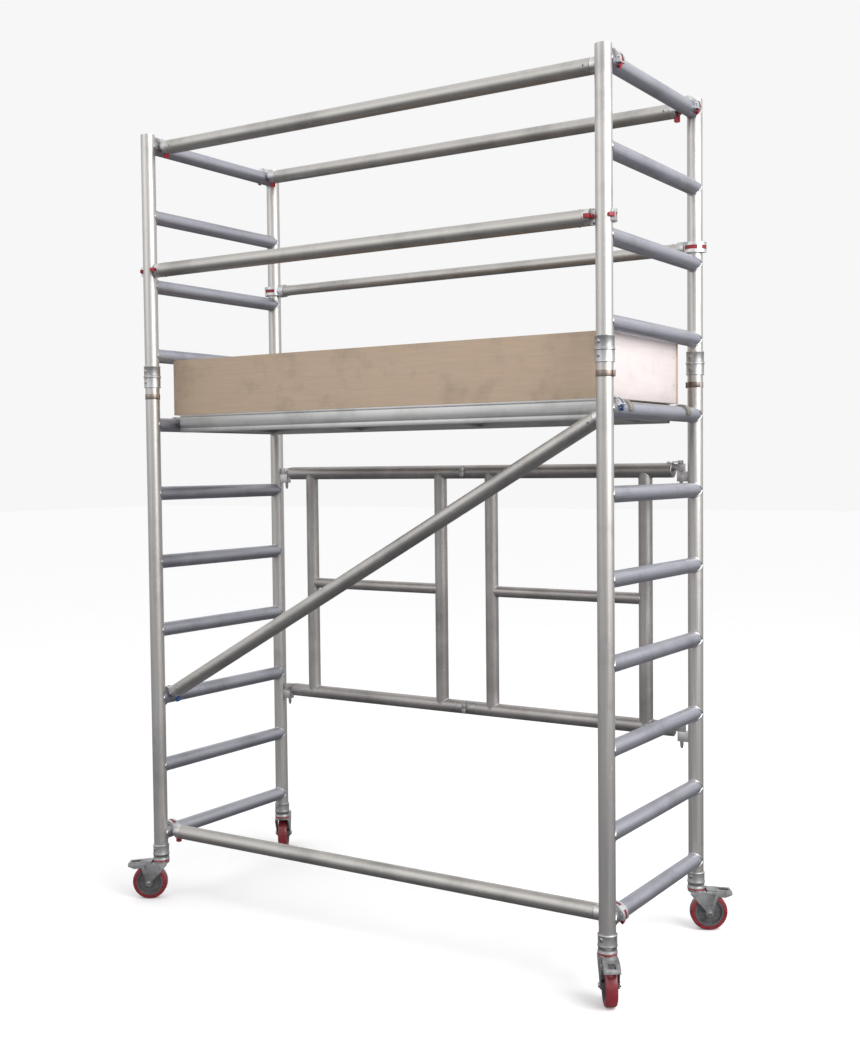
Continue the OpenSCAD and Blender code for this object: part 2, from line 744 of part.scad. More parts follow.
fork(2);  // fork_far_right
fork(3);  // fork_far_left
rim(0);  // rim_near_left
rim(1);  // rim_near_right
rim(2);  // rim_far_right
rim(3);  // rim_far_left
tyre(0);  // tyre_near_left
tyre(1);  // tyre_near_right
tyre(2);  // tyre_far_right
tyre(3);  // tyre_far_left
pedal(0);  // pedal_near_left
pedal(1);  // pedal_near_right
pedal(2);  // pedal_far_right
pedal(3);  // pedal_far_left
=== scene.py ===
# %% [markdown]
# # A mobile tower scaffold
# This lesson dresses an aluminium access tower. Two ladder frames stand at each end, rails
# and braces clip on with claws, a boarded platform with toe boards hooks over the rungs, a
# gate folds at the back and four braked casters carry it all. The CAD frame already says
# where each part is and how it moves. Here each part gets its finer shape and its finish.

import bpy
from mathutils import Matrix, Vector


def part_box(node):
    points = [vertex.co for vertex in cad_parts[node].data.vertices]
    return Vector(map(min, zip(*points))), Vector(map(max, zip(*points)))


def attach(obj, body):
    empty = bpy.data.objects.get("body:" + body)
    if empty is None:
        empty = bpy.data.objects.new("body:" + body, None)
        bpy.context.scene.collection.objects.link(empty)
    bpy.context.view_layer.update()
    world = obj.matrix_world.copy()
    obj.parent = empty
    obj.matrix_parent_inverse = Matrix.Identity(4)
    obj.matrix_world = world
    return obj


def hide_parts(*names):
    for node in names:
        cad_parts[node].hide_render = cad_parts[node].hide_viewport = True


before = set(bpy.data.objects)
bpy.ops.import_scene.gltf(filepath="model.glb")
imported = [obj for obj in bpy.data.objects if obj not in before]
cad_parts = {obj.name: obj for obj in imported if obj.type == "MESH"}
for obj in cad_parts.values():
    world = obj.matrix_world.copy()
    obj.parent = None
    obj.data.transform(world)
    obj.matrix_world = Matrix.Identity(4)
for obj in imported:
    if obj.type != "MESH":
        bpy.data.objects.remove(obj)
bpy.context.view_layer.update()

# %% [markdown]
# Every length below is in millimetres, as on a workshop drawing. The main sizes are read
# from the boxes of the CAD parts, so the dressed tower follows the frame if it is resized.

# %% Main sizes
import math

import bmesh
import bpy
from mathutils import Matrix, Vector

MM = 0.001


def span(node):
    """The two corners of a CAD node's box, in mm."""
    low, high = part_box(node)
    return low / MM, high / MM


low, high = span("upper_frame_right")
post_r = (high.x - low.x) / 2
half_length = (high.x + low.x) / 2
half_width = round(high.y - post_r)  # the facets stop just short of the round
top_z, upper_foot = high.z, low.z
lower_top = span("lower_frame_right")[1].z
seam_z = (upper_foot + lower_top) / 2
foot_z = span("lower_frame_right")[0].z
wall = 2.0
rung_r = 25.0
rung_pitch = 250.0
first_rung = 240.0
rungs_below, rungs_above = 7, 4


def rung_z(i):
    """The height of rung i, counted from 0 at the bottom."""
    return first_rung + rung_pitch * i


corners = [(-1, -1), (1, -1), (1, 1), (-1, 1)]
corner_names = ["near_left", "near_right", "far_right", "far_left"]
print("post radius %.2f, half length %.1f, half width %.1f" % (post_r, half_length, half_width))
print("foot %.1f, seam %.1f, top %.1f" % (foot_z, seam_z, top_z))

# %% [markdown]
# A shape here is three lists: points, faces and a flat place (UV) for each face corner. Most
# parts of a tower are either turned on a lathe or cut from plate, so two helpers make nearly
# everything. U runs along the part and V round it, in mm, so drawn-tube lines can follow it.

# %% Turned and plate shapes
def turned(profile, steps=64):
    """A closed profile of (radius, height), turned about the Z axis."""
    count = len(profile)
    run = [0.0]
    for k in range(count):
        here, there = profile[k], profile[(k + 1) % count]
        run.append(run[-1] + math.hypot(there[0] - here[0], there[1] - here[1]))
    girth = 2 * math.pi * max(r for r, h in profile)
    points, faces, places = [], [], []
    for j in range(steps):
        a = 2 * math.pi * j / steps
        points += [(r * math.cos(a), r * math.sin(a), h) for r, h in profile]
    for j in range(steps):
        one, two = j * count, (j + 1) % steps * count
        v0, v1 = girth * j / steps, girth * (j + 1) / steps
        for k in range(count):
            n = (k + 1) % count
            if profile[k][0] == 0 and profile[n][0] == 0:
                continue
            faces.append((one + k, two + k, two + n, one + n))
            places.append(((run[k], v0), (run[k], v1), (run[k + 1], v1), (run[k + 1], v0)))
    return points, faces, places


def plate(outline, low, high):
    """An outline in X and Y with straight sides from one height to another."""
    count = len(outline)
    points = [(x, y, low) for x, y in outline] + [(x, y, high) for x, y in outline]
    faces = [tuple(reversed(range(count))), tuple(range(count, 2 * count))]
    places = [[(x, y) for x, y in reversed(outline)], list(outline)]
    run = 0.0
    for k in range(count):
        n = (k + 1) % count
        side = math.dist(outline[k], outline[n])
        faces.append((k, n, count + n, count + k))
        places.append(((run, low), (run + side, low), (run + side, high), (run, high)))
        run += side
    return points, faces, places


def tube(r, thick, start, end, lip=0.4):
    """A tube along Z with its sharp edges taken off."""
    i = r - thick
    return turned([(r - lip, start), (r, start + lip), (r, end - lip), (r - lip, end),
                   (i + lip, end), (i, end - lip), (i, start + lip), (i + lip, start)])


def rod(r, start, end, lip=0.5, steps=48):
    """A round bar along Z with its sharp edges taken off."""
    return turned([(0, start), (r - lip, start), (r, start + lip), (r, end - lip),
                   (r - lip, end), (0, end)], steps)


def block(x0, x1, y0, y1, z0, z1):
    """A block between six planes."""
    return plate([(x0, y0), (x1, y0), (x1, y1), (x0, y1)], z0, z1)


def arc(r, start, end, steps=32):
    """Points on a circle, between two angles in degrees."""
    turn = [math.radians(start + (end - start) * k / steps) for k in range(steps + 1)]
    return [(r * math.cos(a), r * math.sin(a)) for a in turn]


print("a 50.8 mm tube has", len(tube(25.4, 2, 0, 100)[1]), "faces")

# %% [markdown]
# Shapes are drawn lying on the axes and then put in place with a matrix. A plate that stands
# in X and Z is the one most used, because the claws, hooks and casters are drawn side on.

# %% Placing shapes
ALONG_X = Matrix.Rotation(math.pi / 2, 4, "Y")
ALONG_Y = Matrix.Rotation(-math.pi / 2, 4, "X")
SIDE_ON = Matrix.Rotation(math.pi / 2, 4, "X")
FLIP_X = Matrix.Scale(-1, 4, (1, 0, 0))
FLIP_Y = Matrix.Scale(-1, 4, (0, 1, 0))
# lays a plate whose outline is in Y and Z along X
ACROSS = Matrix(((0, 0, 1, 0), (1, 0, 0, 0), (0, 1, 0, 0), (0, 0, 0, 1)))


def at(x, y, z):
    return Matrix.Translation((x, y, z))


def turn_z(angle):
    return Matrix.Rotation(math.radians(angle), 4, "Z")


def put(shape, *steps):
    """The shape after the matrices, of which the last is applied first."""
    whole = Matrix.Identity(4)
    for step in steps:
        whole = whole @ step
    points, faces, places = shape
    return [tuple(whole @ Vector(p)) for p in points], faces, places


def standing(outline, width, middle=0.0):
    """A plate whose outline is given in X and Z, centred on Y = middle."""
    return put(plate(outline, -width / 2, width / 2), at(0, middle, 0), SIDE_ON)


print("standing plate, first point", standing([(0, 0), (10, 0), (10, 20)], 4)[0][0])

# %% [markdown]
# `make` turns shapes into one finished piece. It joins them, rounds the edges with a Bevel
# modifier where asked, points all faces outwards and shades only the soft corners smooth.
# The piece then rides its body and stands in for the CAD nodes it copies.

# %% Making a piece
def mesh_from(shapes, name, scale=1.0):
    """Shapes as one mesh, each shape with its own doubles merged."""
    form = bmesh.new()
    layer = form.loops.layers.uv.new("UVMap")
    for points, faces, places in shapes:
        made = [form.verts.new(Vector(p) * scale) for p in points]
        for ring, spots in zip(faces, places):
            face = form.faces.new([made[c] for c in ring])
            for loop, spot in zip(face.loops, spots):
                loop[layer].uv = (spot[0] * MM, spot[1] * MM)
        bmesh.ops.remove_doubles(form, verts=made, dist=0.001 * scale)
    bmesh.ops.recalc_face_normals(form, faces=form.faces)
    mesh = bpy.data.meshes.new(name)
    form.to_mesh(mesh)
    form.free()
    return mesh


def evaluated(thing):
    """A plain mesh of the object with its modifiers applied; the modifiers are removed."""
    bpy.context.view_layer.update()
    graph = bpy.context.evaluated_depsgraph_get()
    mesh = bpy.data.meshes.new_from_object(thing.evaluated_get(graph))
    thing.modifiers.clear()
    return mesh


def finish_piece(mesh, name, finish, body, nodes, crease):
    """Gives a mesh its finish and smooth corners, and lets it ride its body."""
    mesh.materials.clear()
    mesh.materials.append(finish)
    mesh.shade_smooth()
    mesh.set_sharp_from_angle(angle=math.radians(crease))
    piece = bpy.data.objects.new(name, mesh)
    bpy.context.scene.collection.objects.link(piece)
    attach(piece, body)
    if nodes:
        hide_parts(*nodes)
    mesh.calc_loop_triangles()
    print("%-24s %6d triangles" % (name, len(mesh.loop_triangles)))
    return piece


def make(name, shapes, finish, body="tower", nodes=(), soft=0.0, crease=35):
    """Joins shapes drawn in mm into one piece in metres. soft rounds its edges."""
    mesh = mesh_from(shapes, name, MM)
    if soft:
        blank = bpy.data.objects.new(name, mesh)
        bpy.context.scene.collection.objects.link(blank)
        edge = blank.modifiers.new("soft edges", "BEVEL")
        edge.width, edge.segments = soft * MM, 2
        edge.limit_method, edge.angle_limit = "ANGLE", math.radians(30)
        mesh = evaluated(blank)
        bpy.data.objects.remove(blank)
        mesh.name = name
    return finish_piece(mesh, name, finish, body, nodes, crease)


# %% [markdown]
# Castings and pressed parts have mouths, bores and slots. They are made as a fitter would,
# by adding solids and cutting others away, with Boolean modifiers on temporary objects. The
# result comes back as a shape, so one claw can be cut once and set in twelve places.

# %% Cutting shapes
def shape_of(mesh, scale=1.0):
    """A mesh as points, faces and places."""
    layer = mesh.uv_layers.active
    points = [tuple(v.co / scale) for v in mesh.vertices]
    faces, places = [], []
    for face in mesh.polygons:
        faces.append(tuple(face.vertices))
        spots = [layer.data[k].uv if layer else (0, 0) for k in face.loop_indices]
        places.append([(s[0] / MM, s[1] / MM) for s in spots])
    return points, faces, places


def bench(shape):
    """A temporary object of one shape, in mm."""
    thing = bpy.data.objects.new("bench", mesh_from([shape], "bench"))
    bpy.context.scene.collection.objects.link(thing)
    return thing


def worked(base, add=(), cut=()):
    """A shape with solids added and then others cut away."""
    blank = bench(base)
    tools = []
    for kind, shapes in (("UNION", add), ("DIFFERENCE", cut)):
        for shape in shapes:
            tool = bench(shape)
            step = blank.modifiers.new(kind, "BOOLEAN")
            step.operation, step.object, step.solver = kind, tool, "EXACT"
            tools.append(tool)
    mesh = evaluated(blank)
    result = shape_of(mesh)
    for thing in [blank] + tools:
        bpy.data.objects.remove(thing)
    return result


washer = worked(rod(10, 0, 4), cut=[rod(5, -1, 5)])
print("a cut washer has", len(washer[1]), "faces")

# %% [markdown]
# ## Finishes
# Rented aluminium is never one grey. Drawn tube has faint lines along it, handling leaves
# scuffs and knocks, and grime settles in patches. Each of these effects is a small shader
# group with named inputs, built once and placed in every metal with its own numbers.

# %% Shader helpers
def wire(tree, source, target):
    tree.links.new(source, target)


def shader_group(name, inputs, outputs):
    """A shader node group with named sockets. Returns the tree and its two ends."""
    tree = bpy.data.node_groups.new(name, "ShaderNodeTree")
    for label, kind, value in inputs:
        socket = tree.interface.new_socket(label, in_out="INPUT", socket_type=kind)
        if value is not None:
            socket.default_value = value
    for label, kind in outputs:
        tree.interface.new_socket(label, in_out="OUTPUT", socket_type=kind)
    return tree, tree.nodes.new("NodeGroupInput"), tree.nodes.new("NodeGroupOutput")


def noise(tree, vector, scale, detail=3.0, rough=0.55):
    """A noise texture; scale may be a number or a socket."""
    node = tree.nodes.new("ShaderNodeTexNoise")
    node.inputs["Detail"].default_value = detail
    node.inputs["Roughness"].default_value = rough
    wire(tree, vector, node.inputs["Vector"])
    if hasattr(scale, "is_linked"):
        wire(tree, scale, node.inputs["Scale"])
    else:
        node.inputs["Scale"].default_value = scale
    return node.outputs["Fac"]


def span_map(tree, value, a, b, c, d):
    """Maps a value from a..b to c..d; each bound is a number or a socket."""
    node = tree.nodes.new("ShaderNodeMapRange")
    wire(tree, value, node.inputs["Value"])
    for label, bound in zip(("From Min", "From Max", "To Min", "To Max"), (a, b, c, d)):
        if hasattr(bound, "is_linked"):
            wire(tree, bound, node.inputs[label])
        else:
            node.inputs[label].default_value = bound
    return node.outputs["Result"]


def maths(tree, kind, one, two):
    """A Math node of two values, each a number or a socket."""
    node = tree.nodes.new("ShaderNodeMath")
    node.operation = kind
    for k, value in enumerate((one, two)):
        if hasattr(value, "is_linked"):
            wire(tree, value, node.inputs[k])
        else:
            node.inputs[k].default_value = value
    return node.outputs[0]


FLOAT, VECTOR = "NodeSocketFloat", "NodeSocketVector"

# %% [markdown]
# Drawn lines come from a noise that is stretched a long way in U and squeezed in V. Reading
# the piece's own UV keeps the lines along every tube, also on the sloping brace.

# %% Drawn lines
tree, start, end = shader_group(
    "drawn lines",
    [("UV", VECTOR, None), ("Along", FLOAT, 3.0), ("Across", FLOAT, 900.0)],
    [("Lines", FLOAT)])
parts = tree.nodes.new("ShaderNodeSeparateXYZ")
wire(tree, start.outputs["UV"], parts.inputs[0])
joined = tree.nodes.new("ShaderNodeCombineXYZ")
wire(tree, maths(tree, "MULTIPLY", parts.outputs[0], start.outputs["Along"]), joined.inputs[0])
wire(tree, maths(tree, "MULTIPLY", parts.outputs[1], start.outputs["Across"]), joined.inputs[1])
wire(tree, noise(tree, joined.outputs[0], 1.0, 4.0), end.inputs["Lines"])
drawn_lines = tree
print("group", drawn_lines.name)

# %% [markdown]
# Knocks are the scuffs of transport: a few short bright or dull patches. Two noises are
# multiplied, so the marks come in clusters and leave clean metal between.

# %% Knocks and grime
tree, start, end = shader_group(
    "knocks",
    [("Place", VECTOR, None), ("Size", FLOAT, 60.0), ("Amount", FLOAT, 0.5)],
    [("Mask", FLOAT)])
fine = noise(tree, start.outputs["Place"], start.outputs["Size"], 5.0, 0.7)
broad = noise(tree, start.outputs["Place"], 7.0, 2.0)
both = maths(tree, "MULTIPLY", span_map(tree, fine, 0.56, 0.66, 0.0, 1.0),
             span_map(tree, broad, 0.42, 0.62, 0.0, 1.0))
wire(tree, maths(tree, "MULTIPLY", both, start.outputs["Amount"]), end.inputs["Mask"])
knocks = tree

tree, start, end = shader_group(
    "grime",
    [("Place", VECTOR, None), ("Size", FLOAT, 6.0), ("From", FLOAT, 0.45), ("To", FLOAT, 0.75)],
    [("Mask", FLOAT)])
cloud = noise(tree, start.outputs["Place"], start.outputs["Size"], 6.0, 0.65)
wire(tree, span_map(tree, cloud, start.outputs["From"], start.outputs["To"], 0.0, 1.0),
     end.inputs["Mask"])
grime = tree
print("groups", knocks.name, "and", grime.name)

# %% [markdown]
# Edges that hands and tubes rub against go bright. Pointiness, which Cycles measures from
# the mesh itself, finds them, and a noise breaks the line up so that it isn't a drawn rim.

# %% Rubbed edges
tree, start, end = shader_group(
    "rubbed edges",
    [("Place", VECTOR, None), ("From", FLOAT, 0.52), ("To", FLOAT, 0.58)],
    [("Mask", FLOAT)])
form = tree.nodes.new("ShaderNodeNewGeometry")
edges = span_map(tree, form.outputs["Pointiness"], start.outputs["From"], start.outputs["To"],
                 0.0, 1.0)
broken = span_map(tree, noise(tree, start.outputs["Place"], 45.0, 3.0), 0.35, 0.55, 0.25, 1.0)
wire(tree, maths(tree, "MULTIPLY", edges, broken), end.inputs["Mask"])
rubbed_edges = tree
print("group", rubbed_edges.name)

# %% [markdown]
# One recipe serves every metal. The Principled shader stays in the material and the groups
# only feed it colours, roughness and bump. Tubes read UV for the drawn lines; castings have
# no direction, so they read a fine even grain from their own coordinates instead.

# %% Metal recipe
def blank_finish(name, slot):
    """An empty material with a shader. Returns it with the tree, shader and coordinates."""
    finish = bpy.data.materials.new(name)
    finish.use_nodes = True
    finish["slot"] = slot
    tree = finish.node_tree
    tree.nodes.clear()
    output = tree.nodes.new("ShaderNodeOutputMaterial")
    shader = tree.nodes.new("ShaderNodeBsdfPrincipled")
    wire(tree, shader.outputs[0], output.inputs[0])
    return finish, tree, shader, tree.nodes.new("ShaderNodeTexCoord")


def placed(tree, group, **values):
    """A shader group placed in a tree, with its inputs set or wired by name."""
    node = tree.nodes.new("ShaderNodeGroup")
    node.node_tree = group
    for label, value in values.items():
        if hasattr(value, "is_linked"):
            wire(tree, value, node.inputs[label])
        else:
            node.inputs[label].default_value = value
    return node.outputs[0]


def tint(tree, mask, one, two):
    """A colour between two, by a mask. Each colour is a triple or a socket."""
    node = tree.nodes.new("ShaderNodeMix")
    node.data_type = "RGBA"
    wire(tree, mask, node.inputs[0])
    for k, colour in ((6, one), (7, two)):
        if hasattr(colour, "is_linked"):
            wire(tree, colour, node.inputs[k])
        else:
            node.inputs[k].default_value = (*colour, 1.0)
    return node.outputs[2]


def raised(tree, height, strength, depth):
    """A Bump node: its height in metres is the mask times depth."""
    node = tree.nodes.new("ShaderNodeBump")
    node.inputs["Strength"].default_value = strength
    node.inputs["Distance"].default_value = depth
    wire(tree, height, node.inputs["Height"])
    return node.outputs["Normal"]


def metal(name, slot, bright, dull, rough=(0.30, 0.46), lines=True, grain=260.0,
          marks=0.5, dirt=(0.50, 0.80), bump=0.25, metallic=1.0, edge=None):
    """A worn metal: bright and dull are its two colours, rough its two roughnesses."""
    finish, tree, shader, place = blank_finish(name, slot)
    here = place.outputs["Object"]
    if lines:
        texture = placed(tree, drawn_lines, UV=place.outputs["UV"], Along=2.5, Across=700.0)
    else:
        texture = noise(tree, here, grain, 4.0, 0.6)
    scuffs = placed(tree, knocks, Place=here, Size=70.0, Amount=marks)
    patches = placed(tree, grime, Place=here, Size=5.0, From=dirt[0], To=dirt[1])
    colour = tint(tree, span_map(tree, texture, 0.35, 0.65, 0.0, 1.0), dull, bright)
    darker = tuple(c * 0.72 for c in dull)
    colour = tint(tree, patches, colour, darker)
    colour = tint(tree, scuffs, colour, tuple(min(1.0, c * 1.12) for c in bright))
    if edge:
        colour = tint(tree, placed(tree, rubbed_edges, Place=here), colour, edge)
    wire(tree, colour, shader.inputs["Base Color"])
    gloss = span_map(tree, texture, 0.3, 0.7, rough[0], rough[1])
    gloss = maths(tree, "ADD", gloss, maths(tree, "MULTIPLY", scuffs, 0.18))
    wire(tree, gloss, shader.inputs["Roughness"])
    shader.inputs["Metallic"].default_value = metallic
    uneven = maths(tree, "ADD", texture, maths(tree, "MULTIPLY", scuffs, 0.8))
    wire(tree, raised(tree, uneven, bump, 0.0004), shader.inputs["Normal"])
    print("finish", name)
    return finish


frame_finish = metal("frame tube", "frame_tube", (0.70, 0.68, 0.655), (0.57, 0.55, 0.525),
                     rough=(0.36, 0.50), dirt=(0.54, 0.82))
# Darker, bluish copy of the tube colour: a painted reflection, and partly painted shade.
rung_finish_painted_reflection = metal("rung tube painted reflection", "frame_tube", (0.55, 0.555, 0.61), (0.42, 0.425, 0.47),
                    rough=(0.42, 0.58), dirt=(0.50, 0.80))
rail_finish = metal("rail tube", "rail_tube", (0.66, 0.64, 0.61), (0.50, 0.485, 0.46),
                    rough=(0.42, 0.56))
gate_finish = metal("gate tube", "gate_tube", (0.60, 0.57, 0.55), (0.45, 0.43, 0.415),
                    rough=(0.40, 0.58), dirt=(0.40, 0.75))
cast_finish = metal("cast aluminium", "casting", (0.56, 0.56, 0.56), (0.40, 0.40, 0.40),
                    rough=(0.34, 0.52), lines=False, grain=420.0, bump=0.35,
                    edge=(0.80, 0.80, 0.80))
gate_cast_finish = metal("gate casting", "casting", (0.52, 0.51, 0.50),
                         (0.36, 0.35, 0.35), rough=(0.38, 0.55), lines=False, grain=380.0,
                         bump=0.4, edge=(0.75, 0.74, 0.73))
rivet_finish = metal("rivet", "rivet", (0.66, 0.65, 0.63), (0.45, 0.44, 0.42), lines=False)
# Near-black painted shade, set where the rivet and screw holes would be; no hole is cut.
hole_painted_shade_finish = metal("rivet hole painted shade", "rivet", (0.05, 0.045, 0.04), (0.02, 0.02, 0.02),
                    rough=(0.6, 0.8), lines=False)
weld_finish = metal("weld bead", "frame_tube", (0.76, 0.76, 0.76), (0.54, 0.54, 0.55),
                    rough=(0.22, 0.38), lines=False, grain=600.0, marks=0.2)
clip_finish = metal("spring steel", "spring_steel", (0.40, 0.34, 0.30), (0.24, 0.19, 0.165),
                    rough=(0.32, 0.5), dirt=(0.4, 0.7))
steel_finish = metal("bright steel", "steel_zinc", (0.72, 0.71, 0.69), (0.50, 0.49, 0.48),
                     rough=(0.18, 0.32), lines=False, grain=300.0)
deck_finish = metal("deck extrusion", "deck_alu", (0.62, 0.62, 0.61), (0.47, 0.47, 0.46),
                    rough=(0.34, 0.5))
hook_finish = metal("hook strap", "deck_alu", (0.54, 0.50, 0.45), (0.36, 0.33, 0.285),
                    rough=(0.32, 0.5), dirt=(0.42, 0.72))

# %% [markdown]
# The caster forks are pressed steel with a zinc coat. Zinc shows soft cloudy cells, so its
# grain is a Voronoi pattern: each cell catches the light a little differently.

# %% Zinc
zinc_finish, tree, shader, place = blank_finish("zinc plate", "steel_zinc")
cells = tree.nodes.new("ShaderNodeTexVoronoi")
cells.inputs["Scale"].default_value = 140.0
wire(tree, place.outputs["Object"], cells.inputs["Vector"])
spangle = tree.nodes.new("ShaderNodeSeparateColor")
wire(tree, cells.outputs["Color"], spangle.inputs[0])
zinc_dirt = placed(tree, grime, Place=place.outputs["Object"], Size=28.0, From=0.45, To=0.75)
colour = tint(tree, spangle.outputs[0], (0.20, 0.205, 0.21), (0.30, 0.305, 0.31))
colour = tint(tree, zinc_dirt, colour, (0.13, 0.125, 0.12))
colour = tint(tree, placed(tree, rubbed_edges, Place=place.outputs["Object"]), colour,
              (0.55, 0.55, 0.55))
wire(tree, colour, shader.inputs["Base Color"])
wire(tree, span_map(tree, spangle.outputs[1], 0.0, 1.0, 0.34, 0.52), shader.inputs["Roughness"])
shader.inputs["Metallic"].default_value = 0.75
wire(tree, raised(tree, noise(tree, place.outputs["Object"], 500.0), 0.3, 0.0003),
     shader.inputs["Normal"])
print("finish", zinc_finish.name)

# %% [markdown]
# The lock latches and seal rings are moulded plastic, and the wheel's tread is cast
# polyurethane. Both scatter light just under the skin, scuff to a paler shade and hold dust.

# %% Plastics and tread
def moulded(name, slot, colour, pale, rough=(0.32, 0.5), grain=900.0, coat=0.0, dust=0.5):
    """A moulded plastic: pale is the colour of its scuffs."""
    finish, tree, shader, place = blank_finish(name, slot)
    here = place.outputs["Object"]
    scuffs = placed(tree, knocks, Place=here, Size=150.0, Amount=dust)
    mottle = noise(tree, here, 30.0, 4.0)
    deep = tuple(c * 0.72 for c in colour)
    shade = tint(tree, span_map(tree, mottle, 0.35, 0.65, 0.0, 1.0), deep, colour)
    shade = tint(tree, scuffs, shade, pale)
    wire(tree, shade, shader.inputs["Base Color"])
    wire(tree, span_map(tree, mottle, 0.3, 0.7, *rough), shader.inputs["Roughness"])
    shader.inputs["Coat Weight"].default_value = coat
    wire(tree, raised(tree, noise(tree, here, grain, 2.0), 0.18, 0.0003),
         shader.inputs["Normal"])
    print("finish", name)
    return finish


red_finish = moulded("red plastic", "red_plastic", (0.30, 0.014, 0.024), (0.42, 0.10, 0.11))
blue_finish = moulded("blue plastic", "blue_plastic", (0.018, 0.060, 0.19), (0.12, 0.20, 0.36))
tread_finish = moulded("cast tread", "tread", (0.20, 0.014, 0.022), (0.30, 0.12, 0.12),
                       rough=(0.22, 0.42), coat=0.35)
rim_finish = moulded("wheel centre", "rim", (0.085, 0.085, 0.088), (0.20, 0.20, 0.20),
                     rough=(0.42, 0.6))

# %% [markdown]
# The toe boards are film-faced plywood, matt and beige, with cloudy smudges along the grain.
# The deck board has a pressed wire-mesh pattern against slipping. Long grain comes from a
# noise stretched in X, and the mesh from two crossed waves.

# %% Boards
def boarding(name, slot, pale, dark, mesh=False, along=(1.2, 24.0, 24.0), smudge=0.5):
    """A coated board: pale and dark are the two ends of its grain."""
    finish, tree, shader, place = blank_finish(name, slot)
    here = place.outputs["Object"]
    stretch = tree.nodes.new("ShaderNodeMapping")
    stretch.inputs["Scale"].default_value = along
    wire(tree, here, stretch.inputs["Vector"])
    grain = noise(tree, stretch.outputs[0], 6.0, 8.0, 0.7)
    fibres = noise(tree, stretch.outputs[0], 40.0, 3.0, 0.6)
    marks = placed(tree, grime, Place=here, Size=9.0, From=0.52, To=0.74)
    colour = tint(tree, span_map(tree, grain, 0.3, 0.7, 0.0, 1.0), dark, pale)
    soft = maths(tree, "MULTIPLY", marks, smudge)
    colour = tint(tree, soft, colour, tuple(c * 0.62 for c in dark))
    wire(tree, colour, shader.inputs["Base Color"])
    wire(tree, span_map(tree, grain, 0.2, 0.8, 0.50, 0.68), shader.inputs["Roughness"])
    height = fibres
    if mesh:
        waves = []
        for axis in (0, 1):
            stripes = tree.nodes.new("ShaderNodeTexWave")
            stripes.bands_direction = "X" if axis == 0 else "Y"
            stripes.inputs["Scale"].default_value = 60.0
            wire(tree, here, stripes.inputs["Vector"])
            waves.append(stripes.outputs["Fac"])
        height = maths(tree, "ADD", maths(tree, "MAXIMUM", *waves),
                       maths(tree, "MULTIPLY", fibres, 0.4))
    wire(tree, raised(tree, height, 0.35, 0.0006), shader.inputs["Normal"])
    print("finish", name)
    return finish


deck_board_finish = boarding("deck board", "plywood", (0.20, 0.13, 0.085),
                             (0.12, 0.075, 0.05), mesh=True)
toe_finish = boarding("toe board", "toe_ply", (0.405, 0.305, 0.222), (0.345, 0.26, 0.186))
toe_end_finish = boarding("end toe board", "toe_ply_pale", (0.60, 0.545, 0.535),
                          (0.545, 0.485, 0.475), along=(24.0, 1.2, 24.0), smudge=0.3)

# %% [markdown]
# ## Ladder frames
# Each end of the tower is two welded ladders, one on top of the other. The rungs are sawn
# to a saddle so that they sit tight on the round uprights. That saddle is where two round
# tubes meet at a right angle, so its depth is found from the circle of the upright.

# %% Saddle-cut tubes
def saddle(radius, across, far, side):
    """The closed line where a tube along Z meets a crosswise tube whose axis is at far."""
    line = []
    for k in range(64):
        a = 2 * math.pi * k / 64
        x, y = radius * math.cos(a), radius * math.sin(a)
        line.append((x, y, far - side * math.sqrt(across * across - y * y)))
    return line


def coped(radius, thick, across, start, end, bite=0.8):
    """A tube along Z, sawn to fit crosswise tubes at both ends, and its two weld lines."""
    lines = [saddle(radius, across, start, -1), saddle(radius, across, end, 1)]
    inner = radius - thick
    points, faces, places = [], [], []
    for k in range(64):
        a = 2 * math.pi * k / 64
        y = inner * math.sin(a)
        reach = math.sqrt(across * across - y * y)
        (x0, y0, z0), (x1, y1, z1) = lines[0][k], lines[1][k]
        points += [(x0, y0, z0 - bite), (x1, y1, z1 + bite),
                   (inner * math.cos(a), y, end - reach + bite),
                   (inner * math.cos(a), y, start + reach - bite)]
    girth = 2 * math.pi * radius
    for k in range(64):
        one, two = 4 * k, 4 * ((k + 1) % 64)
        v0, v1 = girth * k / 64, girth * (k + 1) / 64
        for c in range(4):
            n = (c + 1) % 4
            u0 = points[one + c][2]
            u1 = points[one + n][2]
            faces.append((one + c, two + c, two + n, one + n))
            places.append(((u0, v0), (u0, v1), (u1, v1), (u1, v0)))
    return (points, faces, places), lines


cross_to_z = ALONG_Y @ turn_z(90)
rung_shape, rung_lines = coped(rung_r, wall, post_r, -half_width, half_width)
rung_shape = put(rung_shape, cross_to_z)
rung_lines = [[tuple(cross_to_z @ Vector(p)) for p in line] for line in rung_lines]
print("a rung has", len(rung_shape[1]), "faces")

# %% [markdown]
# All rungs of a ladder are the same tube at an even pitch, which is just the kind of rule
# that Geometry Nodes hold well: a line of points, the rung set on each, made real at the end.

# %% Rungs by Geometry Nodes
def geometry_group(name, inputs):
    """A Geometry Nodes tree with named inputs. Returns the tree and its two ends."""
    tree = bpy.data.node_groups.new(name, "GeometryNodeTree")
    tree.interface.new_socket("Geometry", in_out="INPUT", socket_type="NodeSocketGeometry")
    for label, kind in inputs:
        tree.interface.new_socket(label, in_out="INPUT", socket_type=kind)
    tree.interface.new_socket("Geometry", in_out="OUTPUT", socket_type="NodeSocketGeometry")
    return tree, tree.nodes.new("NodeGroupInput"), tree.nodes.new("NodeGroupOutput")


def ending(tree, geometry, start, end):
    """Ends a tree: instances made real, and the finish set."""
    real = tree.nodes.new("GeometryNodeRealizeInstances")
    coat = tree.nodes.new("GeometryNodeSetMaterial")
    wire(tree, geometry, real.inputs["Geometry"])
    wire(tree, real.outputs["Geometry"], coat.inputs["Geometry"])
    wire(tree, start.outputs["Finish"], coat.inputs["Material"])
    wire(tree, coat.outputs["Geometry"], end.inputs["Geometry"])


